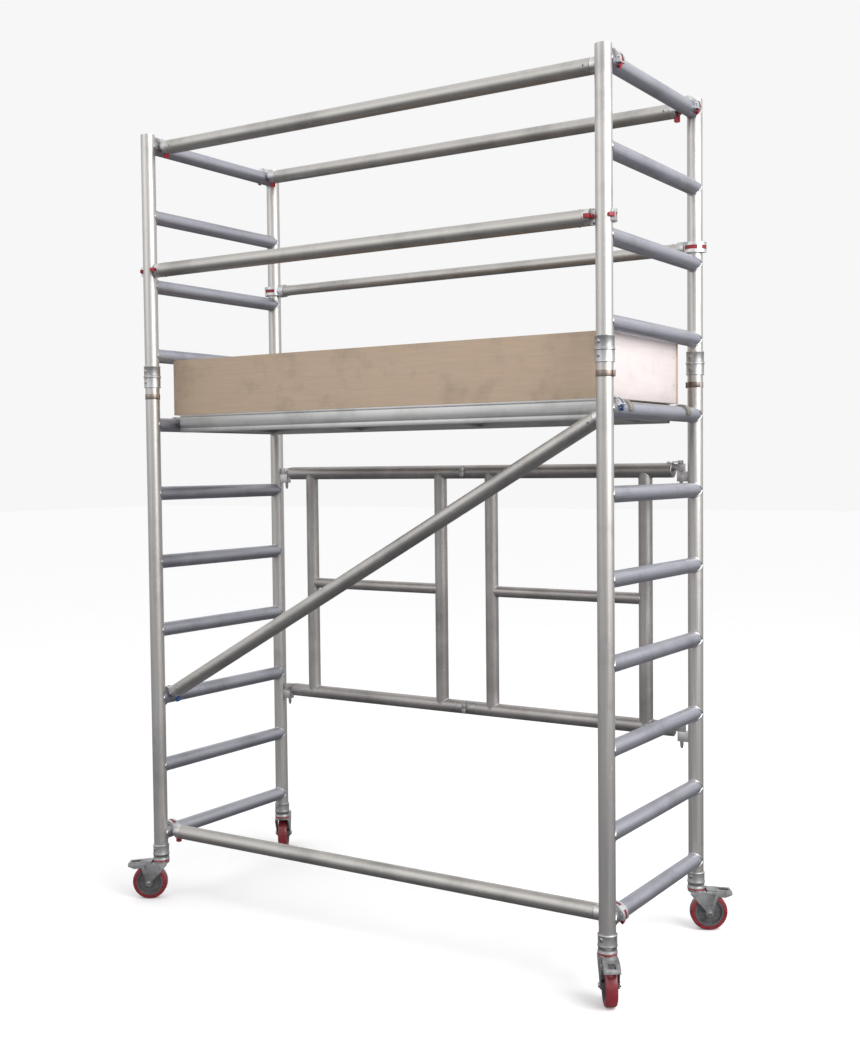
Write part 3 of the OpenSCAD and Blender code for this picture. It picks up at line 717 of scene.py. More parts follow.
def grown(mesh, tree, values):
    """The mesh that a node tree makes from another. values are set by socket identifier."""
    seed = bpy.data.objects.new("seed", mesh)
    bpy.context.scene.collection.objects.link(seed)
    step = seed.modifiers.new(tree.name, "NODES")
    step.node_group = tree
    for socket in tree.interface.items_tree:
        if socket.in_out == "INPUT" and socket.name in values:
            step[socket.identifier] = values[socket.name]
    result = evaluated(seed)
    bpy.data.objects.remove(seed)
    return result


tree, start, end = geometry_group(
    "rungs", [("Count", "NodeSocketInt"), ("First height", FLOAT), ("Pitch", FLOAT),
              ("Finish", "NodeSocketMaterial")])
line = tree.nodes.new("GeometryNodeMeshLine")
line.mode = "OFFSET"
for label, socket in (("First height", "Start Location"), ("Pitch", "Offset")):
    upright = tree.nodes.new("ShaderNodeCombineXYZ")
    wire(tree, start.outputs[label], upright.inputs["Z"])
    wire(tree, upright.outputs[0], line.inputs[socket])
wire(tree, start.outputs["Count"], line.inputs["Count"])
stand = tree.nodes.new("GeometryNodeInstanceOnPoints")
wire(tree, line.outputs["Mesh"], stand.inputs["Points"])
wire(tree, start.outputs["Geometry"], stand.inputs["Instance"])
ending(tree, stand.outputs["Instances"], start, end)
rungs_tree = tree
print("tree", rungs_tree.name)

# %% [markdown]
# The uprights are plain tubes that end in the joint and keep the plain tube colour. The
# ribbed rungs get a darker, bluish copy of it: the blue is a painted reflection and the
# darkness partly painted shade, so a ladder is two pieces with two finishes.
# The lines where tubes meet are kept for the welds.

# %% Four ladders
def ladder(name, side, low, high, first, count):
    """One welded ladder frame on one side of the tower."""
    seed = mesh_from([put(rung_shape, at(side * half_length, 0, 0))], "rung", MM)
    rungs = grown(seed, rungs_tree, {"Count": count, "First height": rung_z(first) * MM,
                                     "Pitch": rung_pitch * MM, "Finish": rung_finish_painted_reflection})
    make(name + "_rungs", [shape_of(rungs, MM)], rung_finish_painted_reflection)
    posts = [put(tube(post_r, wall, low, high), at(side * half_length, y, 0))
             for y in (-half_width, half_width)]
    make(name + "_posts", posts, frame_finish, nodes=[name])


weld_lines = []
for side, word in ((-1, "left"), (1, "right")):
    ladder("lower_frame_" + word, side, foot_z, lower_top, 0, rungs_below)
    ladder("upper_frame_" + word, side, upper_foot, top_z, rungs_below, rungs_above)
    for i in range(rungs_below + rungs_above):
        for curve in rung_lines:
            place = at(side * half_length, 0, rung_z(i))
            weld_lines.append([tuple(place @ Vector(p)) for p in curve])
print("weld lines", len(weld_lines))

# %% [markdown]
# A hand-laid aluminium weld looks like a row of overlapping coins. Geometry Nodes sweep a
# circle along each seam and swell its radius with a sine of the distance, plus a little
# noise with a fixed seed, so the ripples stay even but not perfect.

# %% Weld beads
tree, start, end = geometry_group(
    "weld bead", [("Bead radius", FLOAT), ("Ripple pitch", FLOAT), ("Ripple depth", FLOAT),
                  ("Finish", "NodeSocketMaterial")])
curve = tree.nodes.new("GeometryNodeMeshToCurve")
wire(tree, start.outputs["Geometry"], curve.inputs["Mesh"])
steps = tree.nodes.new("GeometryNodeResampleCurve")
steps.mode = "LENGTH"
wire(tree, curve.outputs["Curve"], steps.inputs["Curve"])
wire(tree, maths(tree, "MULTIPLY", start.outputs["Ripple pitch"], 0.5), steps.inputs["Length"])
along = tree.nodes.new("GeometryNodeSplineParameter")
turns = maths(tree, "DIVIDE", along.outputs["Length"], start.outputs["Ripple pitch"])
swell = maths(tree, "SINE", maths(tree, "MULTIPLY", turns, 2 * math.pi + 0.35), 0.0)
hand = tree.nodes.new("ShaderNodeTexNoise")
hand.noise_dimensions = "4D"
hand.inputs["W"].default_value = 3.0
hand.inputs["Scale"].default_value = 90.0
swell = maths(tree, "ADD", swell, maths(tree, "MULTIPLY", hand.outputs["Fac"], 1.6))
thick = maths(tree, "ADD", start.outputs["Bead radius"],
              maths(tree, "MULTIPLY", swell, start.outputs["Ripple depth"]))
ring = tree.nodes.new("GeometryNodeCurvePrimitiveCircle")
ring.inputs["Resolution"].default_value = 8
ring.inputs["Radius"].default_value = 1.0
sweep = tree.nodes.new("GeometryNodeCurveToMesh")
wire(tree, steps.outputs["Curve"], sweep.inputs["Curve"])
wire(tree, thick, sweep.inputs["Scale"])
wire(tree, ring.outputs["Curve"], sweep.inputs["Profile Curve"])
ending(tree, sweep.outputs["Mesh"], start, end)
weld_tree = tree


def line_mesh(lines):
    """Closed lines, given in mm, as a mesh of edges in metres."""
    mesh = bpy.data.meshes.new("lines")
    points, edges = [], []
    for curve in lines:
        first = len(points)
        points += [tuple(Vector(p) * MM) for p in curve]
        edges += [(first + k, first + (k + 1) % len(curve)) for k in range(len(curve))]
    mesh.from_pydata(points, edges, [])
    return mesh


def welds(name, lines, body, radius=2.6):
    """Weld beads along closed lines."""
    mesh = grown(line_mesh(lines), weld_tree,
                 {"Bead radius": radius * MM, "Ripple pitch": 3.2 * MM,
                  "Ripple depth": 0.4 * MM, "Finish": weld_finish})
    return make(name, [shape_of(mesh, MM)], weld_finish, body=body, crease=80)


welds("rung_welds", weld_lines, "tower")

# %% [markdown]
# ## Frame joints and feet
# Where the upper ladder drops onto the lower one, a cast collar stands on each side of the
# seam with a tube spigot inside. A spring clip just below locks the two together. All but
# the clip are turned shapes.

# %% Joint collars and spigots
bore = post_r + 0.05
collar_r = bore + 3.6
collar = turned([(bore, 0.05), (collar_r + 1.4, 0.05), (collar_r + 2, 0.7), (collar_r + 2, 2.6),
                 (collar_r + 1.2, 3.6), (collar_r, 4.8), (collar_r, 34.2),
                 (collar_r + 0.8, 35.6), (collar_r + 0.8, 38.2), (collar_r, 39), (bore, 39)],
                72)
spigot = tube(post_r - wall - 0.05, 2.5, seam_z - 126, seam_z + 84)
collars, spigots = [], []
for sx, sy in corners:
    post = at(sx * half_length, sy * half_width, 0)
    collars += [put(collar, post, at(0, 0, seam_z)),
                put(collar, post, at(0, 0, seam_z), Matrix.Scale(-1, 4, (0, 0, 1)))]
    spigots.append(put(spigot, post))
make("joint_collars", collars, cast_finish, nodes=["joint_collars"])
make("joint_spigots", spigots, frame_finish, nodes=["joint_spigots"])

# %% [markdown]
# The spring clip is a flat steel band sprung round the tube, with a folded lug to pull it
# by. The lug is a bent strip rather than a block, and has a small pin through it.

# %% Spring clips
clip_z = seam_z - 39 - 23 - 19
band = plate(arc(bore + 1.2, -160, 150, 60) + arc(bore, 150, -160, 60), 0, 19)
lug = plate([(bore + 0.6, -6), (bore + 5.2, -6), (bore + 6.8, -4.2), (bore + 6.8, 4.2),
             (bore + 5.2, 6), (bore + 0.6, 6), (bore + 0.6, 4.6), (bore + 4.8, 4.6),
             (bore + 5.4, 3.8), (bore + 5.4, -3.8), (bore + 4.8, -4.6), (bore + 0.6, -4.6)],
            0, 19)
pin = put(rod(2.2, -6.8, 6.8), at(bore + 3.2, 0, 9.5), ALONG_Y)
clips = []
for sx, sy in corners:
    place = at(sx * half_length, sy * half_width, clip_z) @ turn_z(0 if sy < 0 else 180)
    clips += [put(band, place), put(lug, place), put(pin, place)]
make("spring_clips", clips, clip_finish, nodes=["spring_clips"], soft=0.3)

# %% [markdown]
# Each upright ends in a cast socket that holds the caster's stem. It has a rim, a waist and
# a raised ring, and a red seal sits under it. Both are turned.

# %% Caster sockets and seals
socket_top = first_rung - 41
socket_low = first_rung - 96
sock_r = bore + 3.6
stem = 8.08
socket = turned([(stem, socket_low), (sock_r - 0.2, socket_low), (sock_r + 0.6, socket_low + 0.8),
                 (sock_r + 0.6, socket_low + 4.6), (sock_r - 0.6, socket_low + 7),
                 (sock_r - 1.2, socket_low + 9), (sock_r - 1.2, socket_low + 15),
                 (sock_r + 0.4, socket_low + 18.4), (sock_r + 0.6, socket_low + 19.4),
                 (sock_r + 0.6, socket_low + 22.6), (sock_r + 0.2, socket_low + 24),
                 (sock_r - 0.6, socket_low + 26), (sock_r - 0.6, socket_top - 5.2),
                 (sock_r + 0.4, socket_top - 4), (sock_r + 0.4, socket_top - 0.8),
                 (sock_r - 0.4, socket_top), (bore, socket_top), (bore, foot_z - 0.05),
                 (post_r - wall - 0.05, foot_z - 0.05), (post_r - wall - 0.05, foot_z + 22),
                 (post_r - wall - 5.05, foot_z + 60), (stem, foot_z + 60)], 72)
seal = turned([(sock_r - 6, socket_low - 4.6), (sock_r - 0.6, socket_low - 4.6),
               (sock_r + 0.3, socket_low - 3.7), (sock_r + 0.3, socket_low - 0.9),
               (sock_r - 0.5, socket_low - 0.05), (sock_r - 6, socket_low - 0.05)], 72)
places = [at(sx * half_length, sy * half_width, 0) for sx, sy in corners]
make("caster_sockets", [put(socket, p) for p in places], cast_finish, nodes=["caster_sockets"])
make("socket_rings", [put(seal, p) for p in places], red_finish, nodes=["socket_rings"])

# %% [markdown]
# ## Rails and braces
# A rail is one straight tube that stops just short of the tubes it is clipped to. Its claws
# are plugged and riveted into its ends. The one that slopes has the same ends as the rest.

# %% Rail tubes
brace_y = 300.0
brace_r = 25.0
slim_r = 20.0
reach = 60.0
mid_z = rung_z(8) + 53
slope = math.degrees(math.atan2(4 * rung_pitch, 2 * half_length))


def rail(name, y, z, r, half=half_length - reach, tilt=0.0):
    shape = put(tube(r, wall, -half, half, 0.6), at(0, y, z),
                Matrix.Rotation(math.radians(-tilt), 4, "Y"), ALONG_X)
    return make(name, [shape], rail_finish, nodes=[name])


rail("top_rail_front", -brace_y, rung_z(10), brace_r)
rail("top_rail_back", brace_y, rung_z(10), brace_r)
rail("mid_rail_front", -half_width, mid_z, brace_r)
rail("mid_rail_back", half_width, mid_z, slim_r)
rail("bottom_brace", -brace_y, rung_z(0), brace_r)
rail("diagonal_brace", -brace_y, rung_z(4), brace_r,
     math.hypot(half_length, 2 * rung_pitch) - reach, slope)

# %% [markdown]
# A claw drops over a tube from one side. It is cast, with a round saddle, two flanges and a
# groove between them in which a plastic lock arc slides to close the mouth. The lock shows
# in a window at the nose and along the top. The casting is cut once for each plug size. In
# its own place the gripped tube lies on Y and the rail leaves to -X.

# %% Claw castings
claw_r, claw_w = 38.4, 34.0
grip_r = post_r + 0.3
groove = (grip_r + 5, grip_r + 10.7)
slot_w = 12.6


def claw(plug_r):
    """One claw casting, with a plug that fits the bore of a tube."""
    saddle_block = standing(arc(claw_r, 0, 180, 72) + [(-claw_r, -7), (claw_r, -7)], claw_w)
    neck = put(rod(brace_r - 0.05, -reach + 0.05, -claw_r + 6, 1.2, 72), ALONG_X)
    plug = put(rod(plug_r, -reach - 42, -reach + 1, 1.5, 72), ALONG_X)
    bosses = [put(rod(3.5, -0.8, 0.8, 0.3), at(claw_r * 0.78, s * (claw_w / 2 + 0.7), 11),
                  ALONG_Y) for s in (-1, 1)]
    mouth = put(rod(grip_r, -40, 40, 0, 96), ALONG_Y)
    gap = block(-grip_r, grip_r, -40, 40, -60, 0)
    below = block(-claw_r - 1, claw_r + 1, -40, 40, -60, -7)
    ring = put(turned([(groove[0], -slot_w / 2), (groove[1], -slot_w / 2),
                       (groove[1], slot_w / 2), (groove[0], slot_w / 2)], 96), ALONG_Y)
    nose = standing(arc(claw_r + 4, -3, 32, 16) + arc(groove[1] - 0.1, 32, -3, 16), slot_w)
    top = standing(arc(claw_r + 4, 58, 128, 30) + arc(groove[1] - 0.1, 128, 58, 30), slot_w)
    window = block(-reach + 7, -claw_r + 1, -slot_w / 2, slot_w / 2, -60, -13)
    lip = standing(arc(groove[0] + 0.1, -45, 3, 12) + arc(grip_r - 1, 3, -45, 12), slot_w)
    return worked(saddle_block, add=[neck, plug] + bosses,
                  cut=[mouth, gap, below, ring, nose, top, window, lip])


plug_fit = wall + 0.05
claw_big, claw_slim = claw(brace_r - plug_fit), claw(slim_r - plug_fit)
print("a claw has", len(claw_big[1]), "faces")

# %% [markdown]
# The twelve claws: four on the top rails, four on the middle rails, which bite the uprights
# from outside and so lie on their sides, two on the bottom brace and two on the sloping one.

# %% Twelve claws in place
tail = [("top_front", -brace_y, rung_z(10), 0), ("top_back", brace_y, rung_z(10), 0),
        ("mid_front", -half_width, mid_z, -90), ("mid_back", half_width, mid_z, 90),
        ("bottom", -brace_y, rung_z(0), 0), ("diagonal", -brace_y, None, 0)]
claw_places = {}
for word, y, z, roll in tail:
    for sx, hand in ((-1, "left"), (1, "right")):
        height, tilt = z, 0.0
        if word == "diagonal":
            height, tilt = (rung_z(2), slope) if sx < 0 else (rung_z(6), -slope)
        claw_places[word + "_" + hand] = (
            at(sx * half_length, y, height) @ (FLIP_X if sx < 0 else Matrix.Identity(4))
            @ Matrix.Rotation(math.radians(tilt), 4, "Y")
            @ Matrix.Rotation(math.radians(roll), 4, "X"))
claws = [put(claw_slim if key.startswith("mid_back") else claw_big, place)
         for key, place in claw_places.items()]
make("brace_claws", claws, cast_finish, nodes=["brace_claws"], crease=32)

# %% [markdown]
# The lock is a plastic arc with a tooth that shuts the mouth and a ribbed tab to pull it
# back by. Each one turns about the tube it grips, so each is a piece of its own body. Red
# locks belong to the level braces and rails, and blue ones to the sloping brace.

# %% Lock latches
inner, outer = groove[0] + 0.5, groove[1] - 0.5
lock_arc = standing(arc(outer, -40, 206, 84) + arc(inner, 206, -40, 84), 11.6)
tooth = standing(arc(outer, -40, -27, 6) + arc(grip_r + 0.6, -27, -40, 6), 11.6)
tab = standing([(-50, -36.5), (-48.5, -38), (-34.5, -38), (-33, -36.5), (-33, -16), (-50, -16)],
               11.6)
ribs = [put(rod(1.0, -5.0, 5.0, 0.3, 12), at(-50, 0, -20 - 4 * k), ALONG_Y) for k in range(4)]
for key, place in claw_places.items():
    finish = blue_finish if key.startswith("diagonal") else red_finish
    make("latch_" + key, [put(s, place) for s in [lock_arc, tooth, tab] + ribs], finish,
         body="latch_" + key, nodes=["latch_" + key], soft=0.6)

# %% [markdown]
# Blind rivets hold the collars, sockets and claw plugs. A rivet is a low dome with a hole
# where its stem broke off. The hole is not cut; a small near-black dome of painted shade sits
# in its place. One Geometry Nodes tree sets a dome on each point, turned to face outwards by
# a stored direction, and the same tree makes these painted dark centres.

# %% Studs by Geometry Nodes
tree, start, end = geometry_group(
    "studs", [("Head radius", FLOAT), ("Head height", FLOAT), ("Finish", "NodeSocketMaterial")])
dome = tree.nodes.new("GeometryNodeMeshUVSphere")
dome.inputs["Segments"].default_value = 12
dome.inputs["Rings"].default_value = 6
dome.inputs["Radius"].default_value = 1.0
size = tree.nodes.new("ShaderNodeCombineXYZ")
for axis, label in (("X", "Head radius"), ("Y", "Head radius"), ("Z", "Head height")):
    wire(tree, start.outputs[label], size.inputs[axis])
squash = tree.nodes.new("GeometryNodeTransform")
wire(tree, dome.outputs["Mesh"], squash.inputs["Geometry"])
wire(tree, size.outputs[0], squash.inputs["Scale"])
facing = tree.nodes.new("GeometryNodeInputNamedAttribute")
facing.data_type = "FLOAT_VECTOR"
facing.inputs["Name"].default_value = "facing"
aim = tree.nodes.new("FunctionNodeAlignRotationToVector")
aim.axis = "Z"
wire(tree, facing.outputs["Attribute"], aim.inputs["Vector"])
stand = tree.nodes.new("GeometryNodeInstanceOnPoints")
wire(tree, start.outputs["Geometry"], stand.inputs["Points"])
wire(tree, squash.outputs["Geometry"], stand.inputs["Instance"])
wire(tree, aim.outputs["Rotation"], stand.inputs["Rotation"])
ending(tree, stand.outputs["Instances"], start, end)
studs_tree = tree


def studs(name, spots, finish, body="tower", nodes=(), radius=4.0, height=1.6):
    """Domed heads at (point, direction) pairs in mm."""
    mesh = bpy.data.meshes.new("points")
    mesh.from_pydata([tuple(Vector(p) * MM) for p, d in spots], [], [])
    store = mesh.attributes.new("facing", "FLOAT_VECTOR", "POINT")
    for k, (p, d) in enumerate(spots):
        store.data[k].vector = d
    mesh = grown(mesh, studs_tree, {"Head radius": radius * MM, "Head height": height * MM,
                                    "Finish": finish})
    return make(name, [shape_of(mesh, MM)], finish, body=body, nodes=nodes, crease=60)


rivet_spots = []
rivet_way = Vector((math.cos(math.radians(-105)), math.sin(math.radians(-105)), 0))
button_spots = []
for sx, sy in corners:
    way = rivet_way
    post = Vector((sx * half_length, sy * half_width, 0))
    for z in (seam_z - 20, seam_z + 20):
        button_spots.append((post + way * collar_r + Vector((0, 0, z)), way))
    button_spots.append((post + way * (sock_r - 0.6) + Vector((0, 0, socket_top - 14)), way))
for key, place in claw_places.items():
    r = slim_r if key.startswith("mid_back") else brace_r
    for s in (-1, 1):
        way = (place.to_3x3() @ Vector((0, s, 0))).normalized()
        rivet_spots.append((place @ Vector((-reach - 18, s * r, 0)), way))
studs("rivets", rivet_spots, rivet_finish, nodes=["rivets"])
# The dark centres are painted shade standing in for the rivet and button holes.
studs("rivet_hole_painted_shade", [(p + d * 1.15, d) for p, d in rivet_spots], hole_painted_shade_finish,
      radius=1.7, height=0.7)
studs("collar_buttons", button_spots, rivet_finish, radius=6.8, height=1.9)
studs("button_hole_painted_shade", [(p + d * 1.3, d) for p, d in button_spots], hole_painted_shade_finish,
      radius=2.6, height=0.8)

# %% [markdown]
# ## Platform
# The platform is an aluminium frame with a plywood deck let into it. Its side beams are
# hollow extrusions with a groove along the outer face. They are cut from a block, with the
# hollow, the groove and a fine line near the top taken away.

# %% Deck frame
deck_y = 270.0
deck_z = rung_z(6) + 35
beam_w, beam_h = 30.0, 63.0
beam_low = deck_z - beam_h
board_t = 12.0
cross_top = deck_z - board_t
deck_end = span("deck_frame")[1].x
door_x, door_l, door_w = 430.0, 600.0, 380.0
side = worked(
    block(-deck_end, deck_end, deck_y - beam_w, deck_y, beam_low, deck_z - 0.05),
    cut=[block(-999, 999, deck_y - beam_w + 2, deck_y - 4, beam_low + 3, deck_z - 3),
         block(-999, 999, deck_y - 1.5, 999, beam_low + 14, beam_low + 17),
         block(-999, 999, deck_y - 0.7, 999, deck_z - 9, deck_z - 8)])
cross_x = [-deck_end + 12.5, -deck_end / 2 + 20, door_x - door_l / 2 - 3,
           door_x + door_l / 2 + 3, deck_end - 12.5]
inner_y = deck_y - beam_w - 0.05
shapes = [side, put(side, FLIP_Y)]
for x in cross_x:
    shapes.append(worked(
        block(x - 12.5, x + 12.5, -inner_y, inner_y, beam_low + 6, cross_top - 0.05),
        cut=[block(x - 10.5, x + 10.5, -999, 999, beam_low + 8, cross_top - 2)]))
make("deck_frame", shapes, deck_finish, nodes=["deck_frame"], soft=0.5)

# %% [markdown]
# The hooks are thick straps bent round the rung, each on a foot on the end beam. One side
# view, extruded to the strap's width and rounded, gives all four.

# %% Deck hooks
hook_in = rung_r + 0.3
hook_out = hook_in + 6
foot_x = deck_end - half_length + 0.05
heel = math.degrees(math.asin(16 / hook_out))
hook = standing(arc(hook_out, -8, 180 - heel, 40)
                + [(foot_x, 16), (foot_x, -20), (-hook_in - 2, -20), (-hook_in - 2, -4.6)]
                + arc(hook_in, 190, -8, 48)[1:], 26.0)
hooks = [put(hook, at(sx * half_length, sy * 225.0, rung_z(6)),
             FLIP_X if sx < 0 else Matrix.Identity(4)) for sx, sy in corners]
make("deck_hooks", hooks, hook_finish, nodes=["deck_hooks"], soft=0.9)

# %% [markdown]
# The deck board is let in between the beams and has the trapdoor's opening. The trapdoor
# has a finger hole and turns on two pins that run in bushes let into the board's thickness,
# so nothing stands above the deck. The corner under its back edge is planed off.

# %% Deck board and trapdoor
board_t = deck_z - cross_top
board_y = deck_y - beam_w - 0.3
pivot_y = door_w / 2 - board_t / 2 - 3
pivot_z = deck_z - board_t / 2
bush_d = board_t - 3
pin_d = bush_d - 3.5
pivots = [at(door_x, pivot_y, pivot_z) @ hand @ at(door_l / 2, 0, 0)
          for hand in (Matrix.Identity(4), FLIP_X)]
opening = block(door_x - door_l / 2, door_x + door_l / 2, -door_w / 2, door_w / 2,
                cross_top - 1, deck_z + 1)
bush_bores = [put(rod(bush_d / 2 + 0.05, -1, 16.3, 0), place, ALONG_X) for place in pivots]
make("deck_board", [worked(block(-deck_end, deck_end, -board_y, board_y, cross_top, deck_z),
                           cut=[opening] + bush_bores)],
     deck_board_finish, nodes=["deck_board"], soft=0.5)
hinge_back = pivot_y + board_t / 2 - 2
door_side = [(2 - door_w / 2, cross_top + 0.3), (pivot_y - 1.5, cross_top + 0.3),
             (hinge_back, pivot_z - 1), (hinge_back, deck_z), (2 - door_w / 2, deck_z)]
door = worked(put(plate(door_side, door_x - door_l / 2 + 2, door_x + door_l / 2 - 2), ACROSS),
              cut=[put(rod(18, cross_top - 1, deck_z + 1, 0), at(door_x, 60 - door_w / 2, 0))]
              + [put(rod(pin_d / 2 + 0.05, -42.3, 5, 0), place, ALONG_X) for place in pivots])
make("trapdoor", [door], deck_board_finish, body="trapdoor", nodes=["trapdoor"], soft=0.5)

# %% Trapdoor pivots
make("door_bushes", [put(worked(rod(bush_d / 2, 0.05, 16, 0.4),
                                cut=[rod(pin_d / 2 + 0.08, -1, 17, 0)]), place, ALONG_X)
                     for place in pivots], steel_finish, nodes=["door_bushes"])
make("door_pins", [put(rod(pin_d / 2, -42, 15, 0.4), place, ALONG_X) for place in pivots],
     steel_finish, body="trapdoor", nodes=["door_pins"])

# %% [markdown]
# The toe boards stand on edge round the deck so that nothing rolls off. The end boards fit
# between the long ones and are screwed through them, three screws to a corner.

# %% Toe boards
toe_t, toe_h = 18.0, 200.0
toe_x = span("toe_board_front")[1].x
for word, y0, y1 in (("front", -deck_y, toe_t - deck_y), ("back", deck_y - toe_t, deck_y)):
    make("toe_board_" + word, [block(-toe_x, toe_x, y0, y1, deck_z + 0.05, deck_z + toe_h)],
         toe_finish, nodes=["toe_board_" + word], soft=1.2)
end_y = deck_y - toe_t - 0.05
make("toe_board_ends", [block(min(s * toe_x, s * (toe_x - toe_t)),
                              max(s * toe_x, s * (toe_x - toe_t)), -end_y, end_y,
                              deck_z + 0.05, deck_z + toe_h) for s in (-1, 1)],
     toe_end_finish, nodes=["toe_board_ends"], soft=1.2)
screw_spots = []
for sy in (-1, 1):
    for x in (-toe_x + 12, toe_x - 30):
        for z in (60, 105, 150):
            screw_spots.append((Vector((x, sy * (deck_y + 0.1), deck_z + z)), Vector((0, sy, 0))))
for sx in (-1, 1):
    for y in (-end_y + 20, end_y - 20):
        for z in (60, 150):
            screw_spots.append((Vector((sx * (toe_x + 0.1), y, deck_z + z)), Vector((sx, 0, 0))))
studs("toe_screws", screw_spots, rivet_finish, radius=3.6, height=1.0)
# The screw slots are not cut: small near-black domes of painted shade stand in for them.
studs("toe_screw_slot_painted_shade", [(p + d * 0.75, d) for p, d in screw_spots], hole_painted_shade_finish,
      radius=1.3, height=0.4)

# %% [markdown]
# ## Folding gate
# The gate across the back is two welded panels that fold against each other on a hinge in
# the middle. A panel has two long tubes, two uprights saddle-cut to them and one middle
# rail. The right one is the mirror of the left.

# %% Gate panels
gate_top = rung_z(5) + 66.5
gate_low = rung_z(2) - 64
gate_mid = (gate_top + gate_low) / 2
pin_x = half_length - 50
gate_posts = (-pin_x + 130, -110.0)
panel, panel_lines = [], []
for z in (gate_low, gate_top):
    panel.append(put(tube(25, wall, -pin_x + 28, -40, 0.6), at(0, half_width, z), ALONG_X))
post_tube, ends = coped(24, wall, 25, gate_low, gate_top)
for x in gate_posts:
    panel.append(put(post_tube, at(x, half_width, 0)))
    panel_lines += [[tuple(at(x, half_width, 0) @ Vector(p)) for p in line] for line in ends]
rail_tube, ends = coped(20, wall, 24, gate_posts[0], gate_posts[1])
rail_place = at(0, half_width, gate_mid) @ ALONG_X
panel.append(put(rail_tube, rail_place))
panel_lines += [[tuple(rail_place @ Vector(p)) for p in line] for line in ends]
for word, flip in (("left", Matrix.Identity(4)), ("right", FLIP_X)):
    make("gate_panel_" + word, [put(s, flip) for s in panel], gate_finish,
         body="gate_" + word, nodes=["gate_panel_" + word])
    welds("gate_welds_" + word, [[tuple(flip @ Vector(p)) for p in line]
                                 for line in panel_lines], "gate_" + word, 1.3)

# %% [markdown]
# Cast ends are plugged into the long tubes. The outer ones carry the drop pins and the inner
# ones are the two halves of the middle hinge, whose knuckle stands just outside the tube.

# %% Gate castings
plug_r = 25 - plug_fit
fold_y = half_width - 26.0


def gate_end(up):
    """The castings of one panel, at both heights. up puts the hinge knuckle on top."""
    shapes = []
    for z in (gate_low, gate_top):
        lug = worked(put(rod(12, -pin_x + 11, -pin_x + 28.5, 1.0), at(0, half_width, z + 9.2),
                         ALONG_X),
                     add=[block(-pin_x - 11, -pin_x + 20, half_width - 11, half_width + 11,
                                z - 3.8, z + 22)])
        shapes += [lug, put(rod(plug_r, -pin_x + 28, -pin_x + 62), at(0, half_width, z), ALONG_X)]
        shapes.append(put(turned([(0, -62), (3.2, -62), (3.5, -61.6), (6, -50), (6, 0), (0, 0)],
                                 36), at(-pin_x, half_width, z)))
        knuckle = (-0.3, 40.0) if up == 0 else (-40.0, 0.3)
        barrel = (-16.0, -0.3) if up == 0 else (0.3, 16.0)
        half = worked(put(rod(25, -39.95, -1.5, 1.2, 72), at(0, half_width, z), ALONG_X),
                      cut=[put(rod(9.5, *knuckle, 0), at(0, fold_y, z))])
        eye = put(rod(9, *barrel, 0.8), at(0, fold_y, z))
        bosses = [put(rod(3.5, -0.8, 2.5, 0.3), at(x, half_width - 25, z), ALONG_Y)
                  for x in (-14, -28)]
        shapes += [half, eye, put(rod(plug_r, -72, -40), at(0, half_width, z), ALONG_X)] + bosses
        if up == 1:
            shapes.append(put(rod(4, -19, 1), at(0, fold_y, z)))
    return shapes


make("gate_castings_left", gate_end(1), gate_cast_finish, body="gate_left",
     nodes=["gate_castings_left"], soft=0.8)
ears = []
for s in (-1, 1):
    y = half_width + s * 8.5
    ears.append(worked(block(-pin_x - 4, -pin_x + 8, y - 2.5, y + 2.5, gate_top + 21,
                             gate_top + 33),
                       cut=[put(rod(2.58, -20, 20, 0), at(-pin_x + 2, y, gate_top + 27),
                                ALONG_Y)]))
make("gate_castings_right", [put(s, FLIP_X) for s in gate_end(0) + ears], gate_cast_finish,
     body="gate_right", nodes=["gate_castings_right"], soft=0.8)

# %% [markdown]
# The brackets on the rear uprights take the gate's pins. Those on the left are closed eyes,
# on which the gate swings, and those on the right are open forks that the pins drop into.

# %% Gate brackets and lever
brackets = []
for z in (gate_low, gate_top):
    for s in (-1, 1):
        fit = 6.08 if s < 0 else 6.4
        cuts = [put(rod(post_r + 0.05, -60, 1, 0, 96)), put(rod(fit, -60, 1, 0), at(50, 0, 0))]
        if s > 0:
            cuts += [put(rod(fit, -60, 1, 0), at(48.4, 0, 0)),
                     block(48.4, 90, -6.4, 6.4, -60, 1)]
        body = worked(block(post_r - 4, 61, -12, 12, -38, -4.3), cut=cuts)
        brackets.append(put(body, at(s * half_length, half_width, z),
                            FLIP_X if s > 0 else Matrix.Identity(4)))
make("gate_brackets", brackets, gate_cast_finish, nodes=["gate_brackets"], soft=0.7)
lever = worked(block(0, 34, -5.5, 5.5, -1.2, 2.8),
               add=[put(rod(4.5, -5.5, 5.5), ALONG_Y), put(rod(11, -1.2, 2.8), at(38, 0, 0))],
               cut=[put(rod(6, -3, 9, 0), at(38, 0, 0))])
lever_place = FLIP_X @ at(-pin_x + 2, half_width, gate_top + 27)
make("gate_latch", [put(lever, lever_place), put(rod(2.5, -13, 13, 0.3), lever_place, ALONG_Y)],
     steel_finish, body="gate_lever", nodes=["gate_latch"], soft=0.5)

# %% [markdown]
# ## Casters
# A caster is a pressed fork on a stem, a wheel with a soft tread, and a foot pedal whose
# shoe presses on the tread. In its own place the stem is at the origin and the wheel trails
# to +X. The same shapes are turned to four headings.

# %% Caster sizes
headings = [212.7, -57.3, 32.7, 122.7]
trail, axle_z, wheel_r, tread = 42.0, 62.5, 62.5, 36.0
crown_z = first_rung - 105
leg_in, leg_t = tread / 2 + 7.5, 3.0
pedal_x, pedal_z = trail + 20, crown_z - 10
caster_places = [at(sx * half_length, sy * half_width, 0) @ turn_z(h)
                 for (sx, sy), h in zip(corners, headings)]
print("crown at", crown_z, "leg half gap", leg_in)

# %% [markdown]
# The fork starts as a flat blank that is folded over the wheel. Its legs are plates cut to
# the side view and its crown is a disc and a web between them, with all edges rounded.

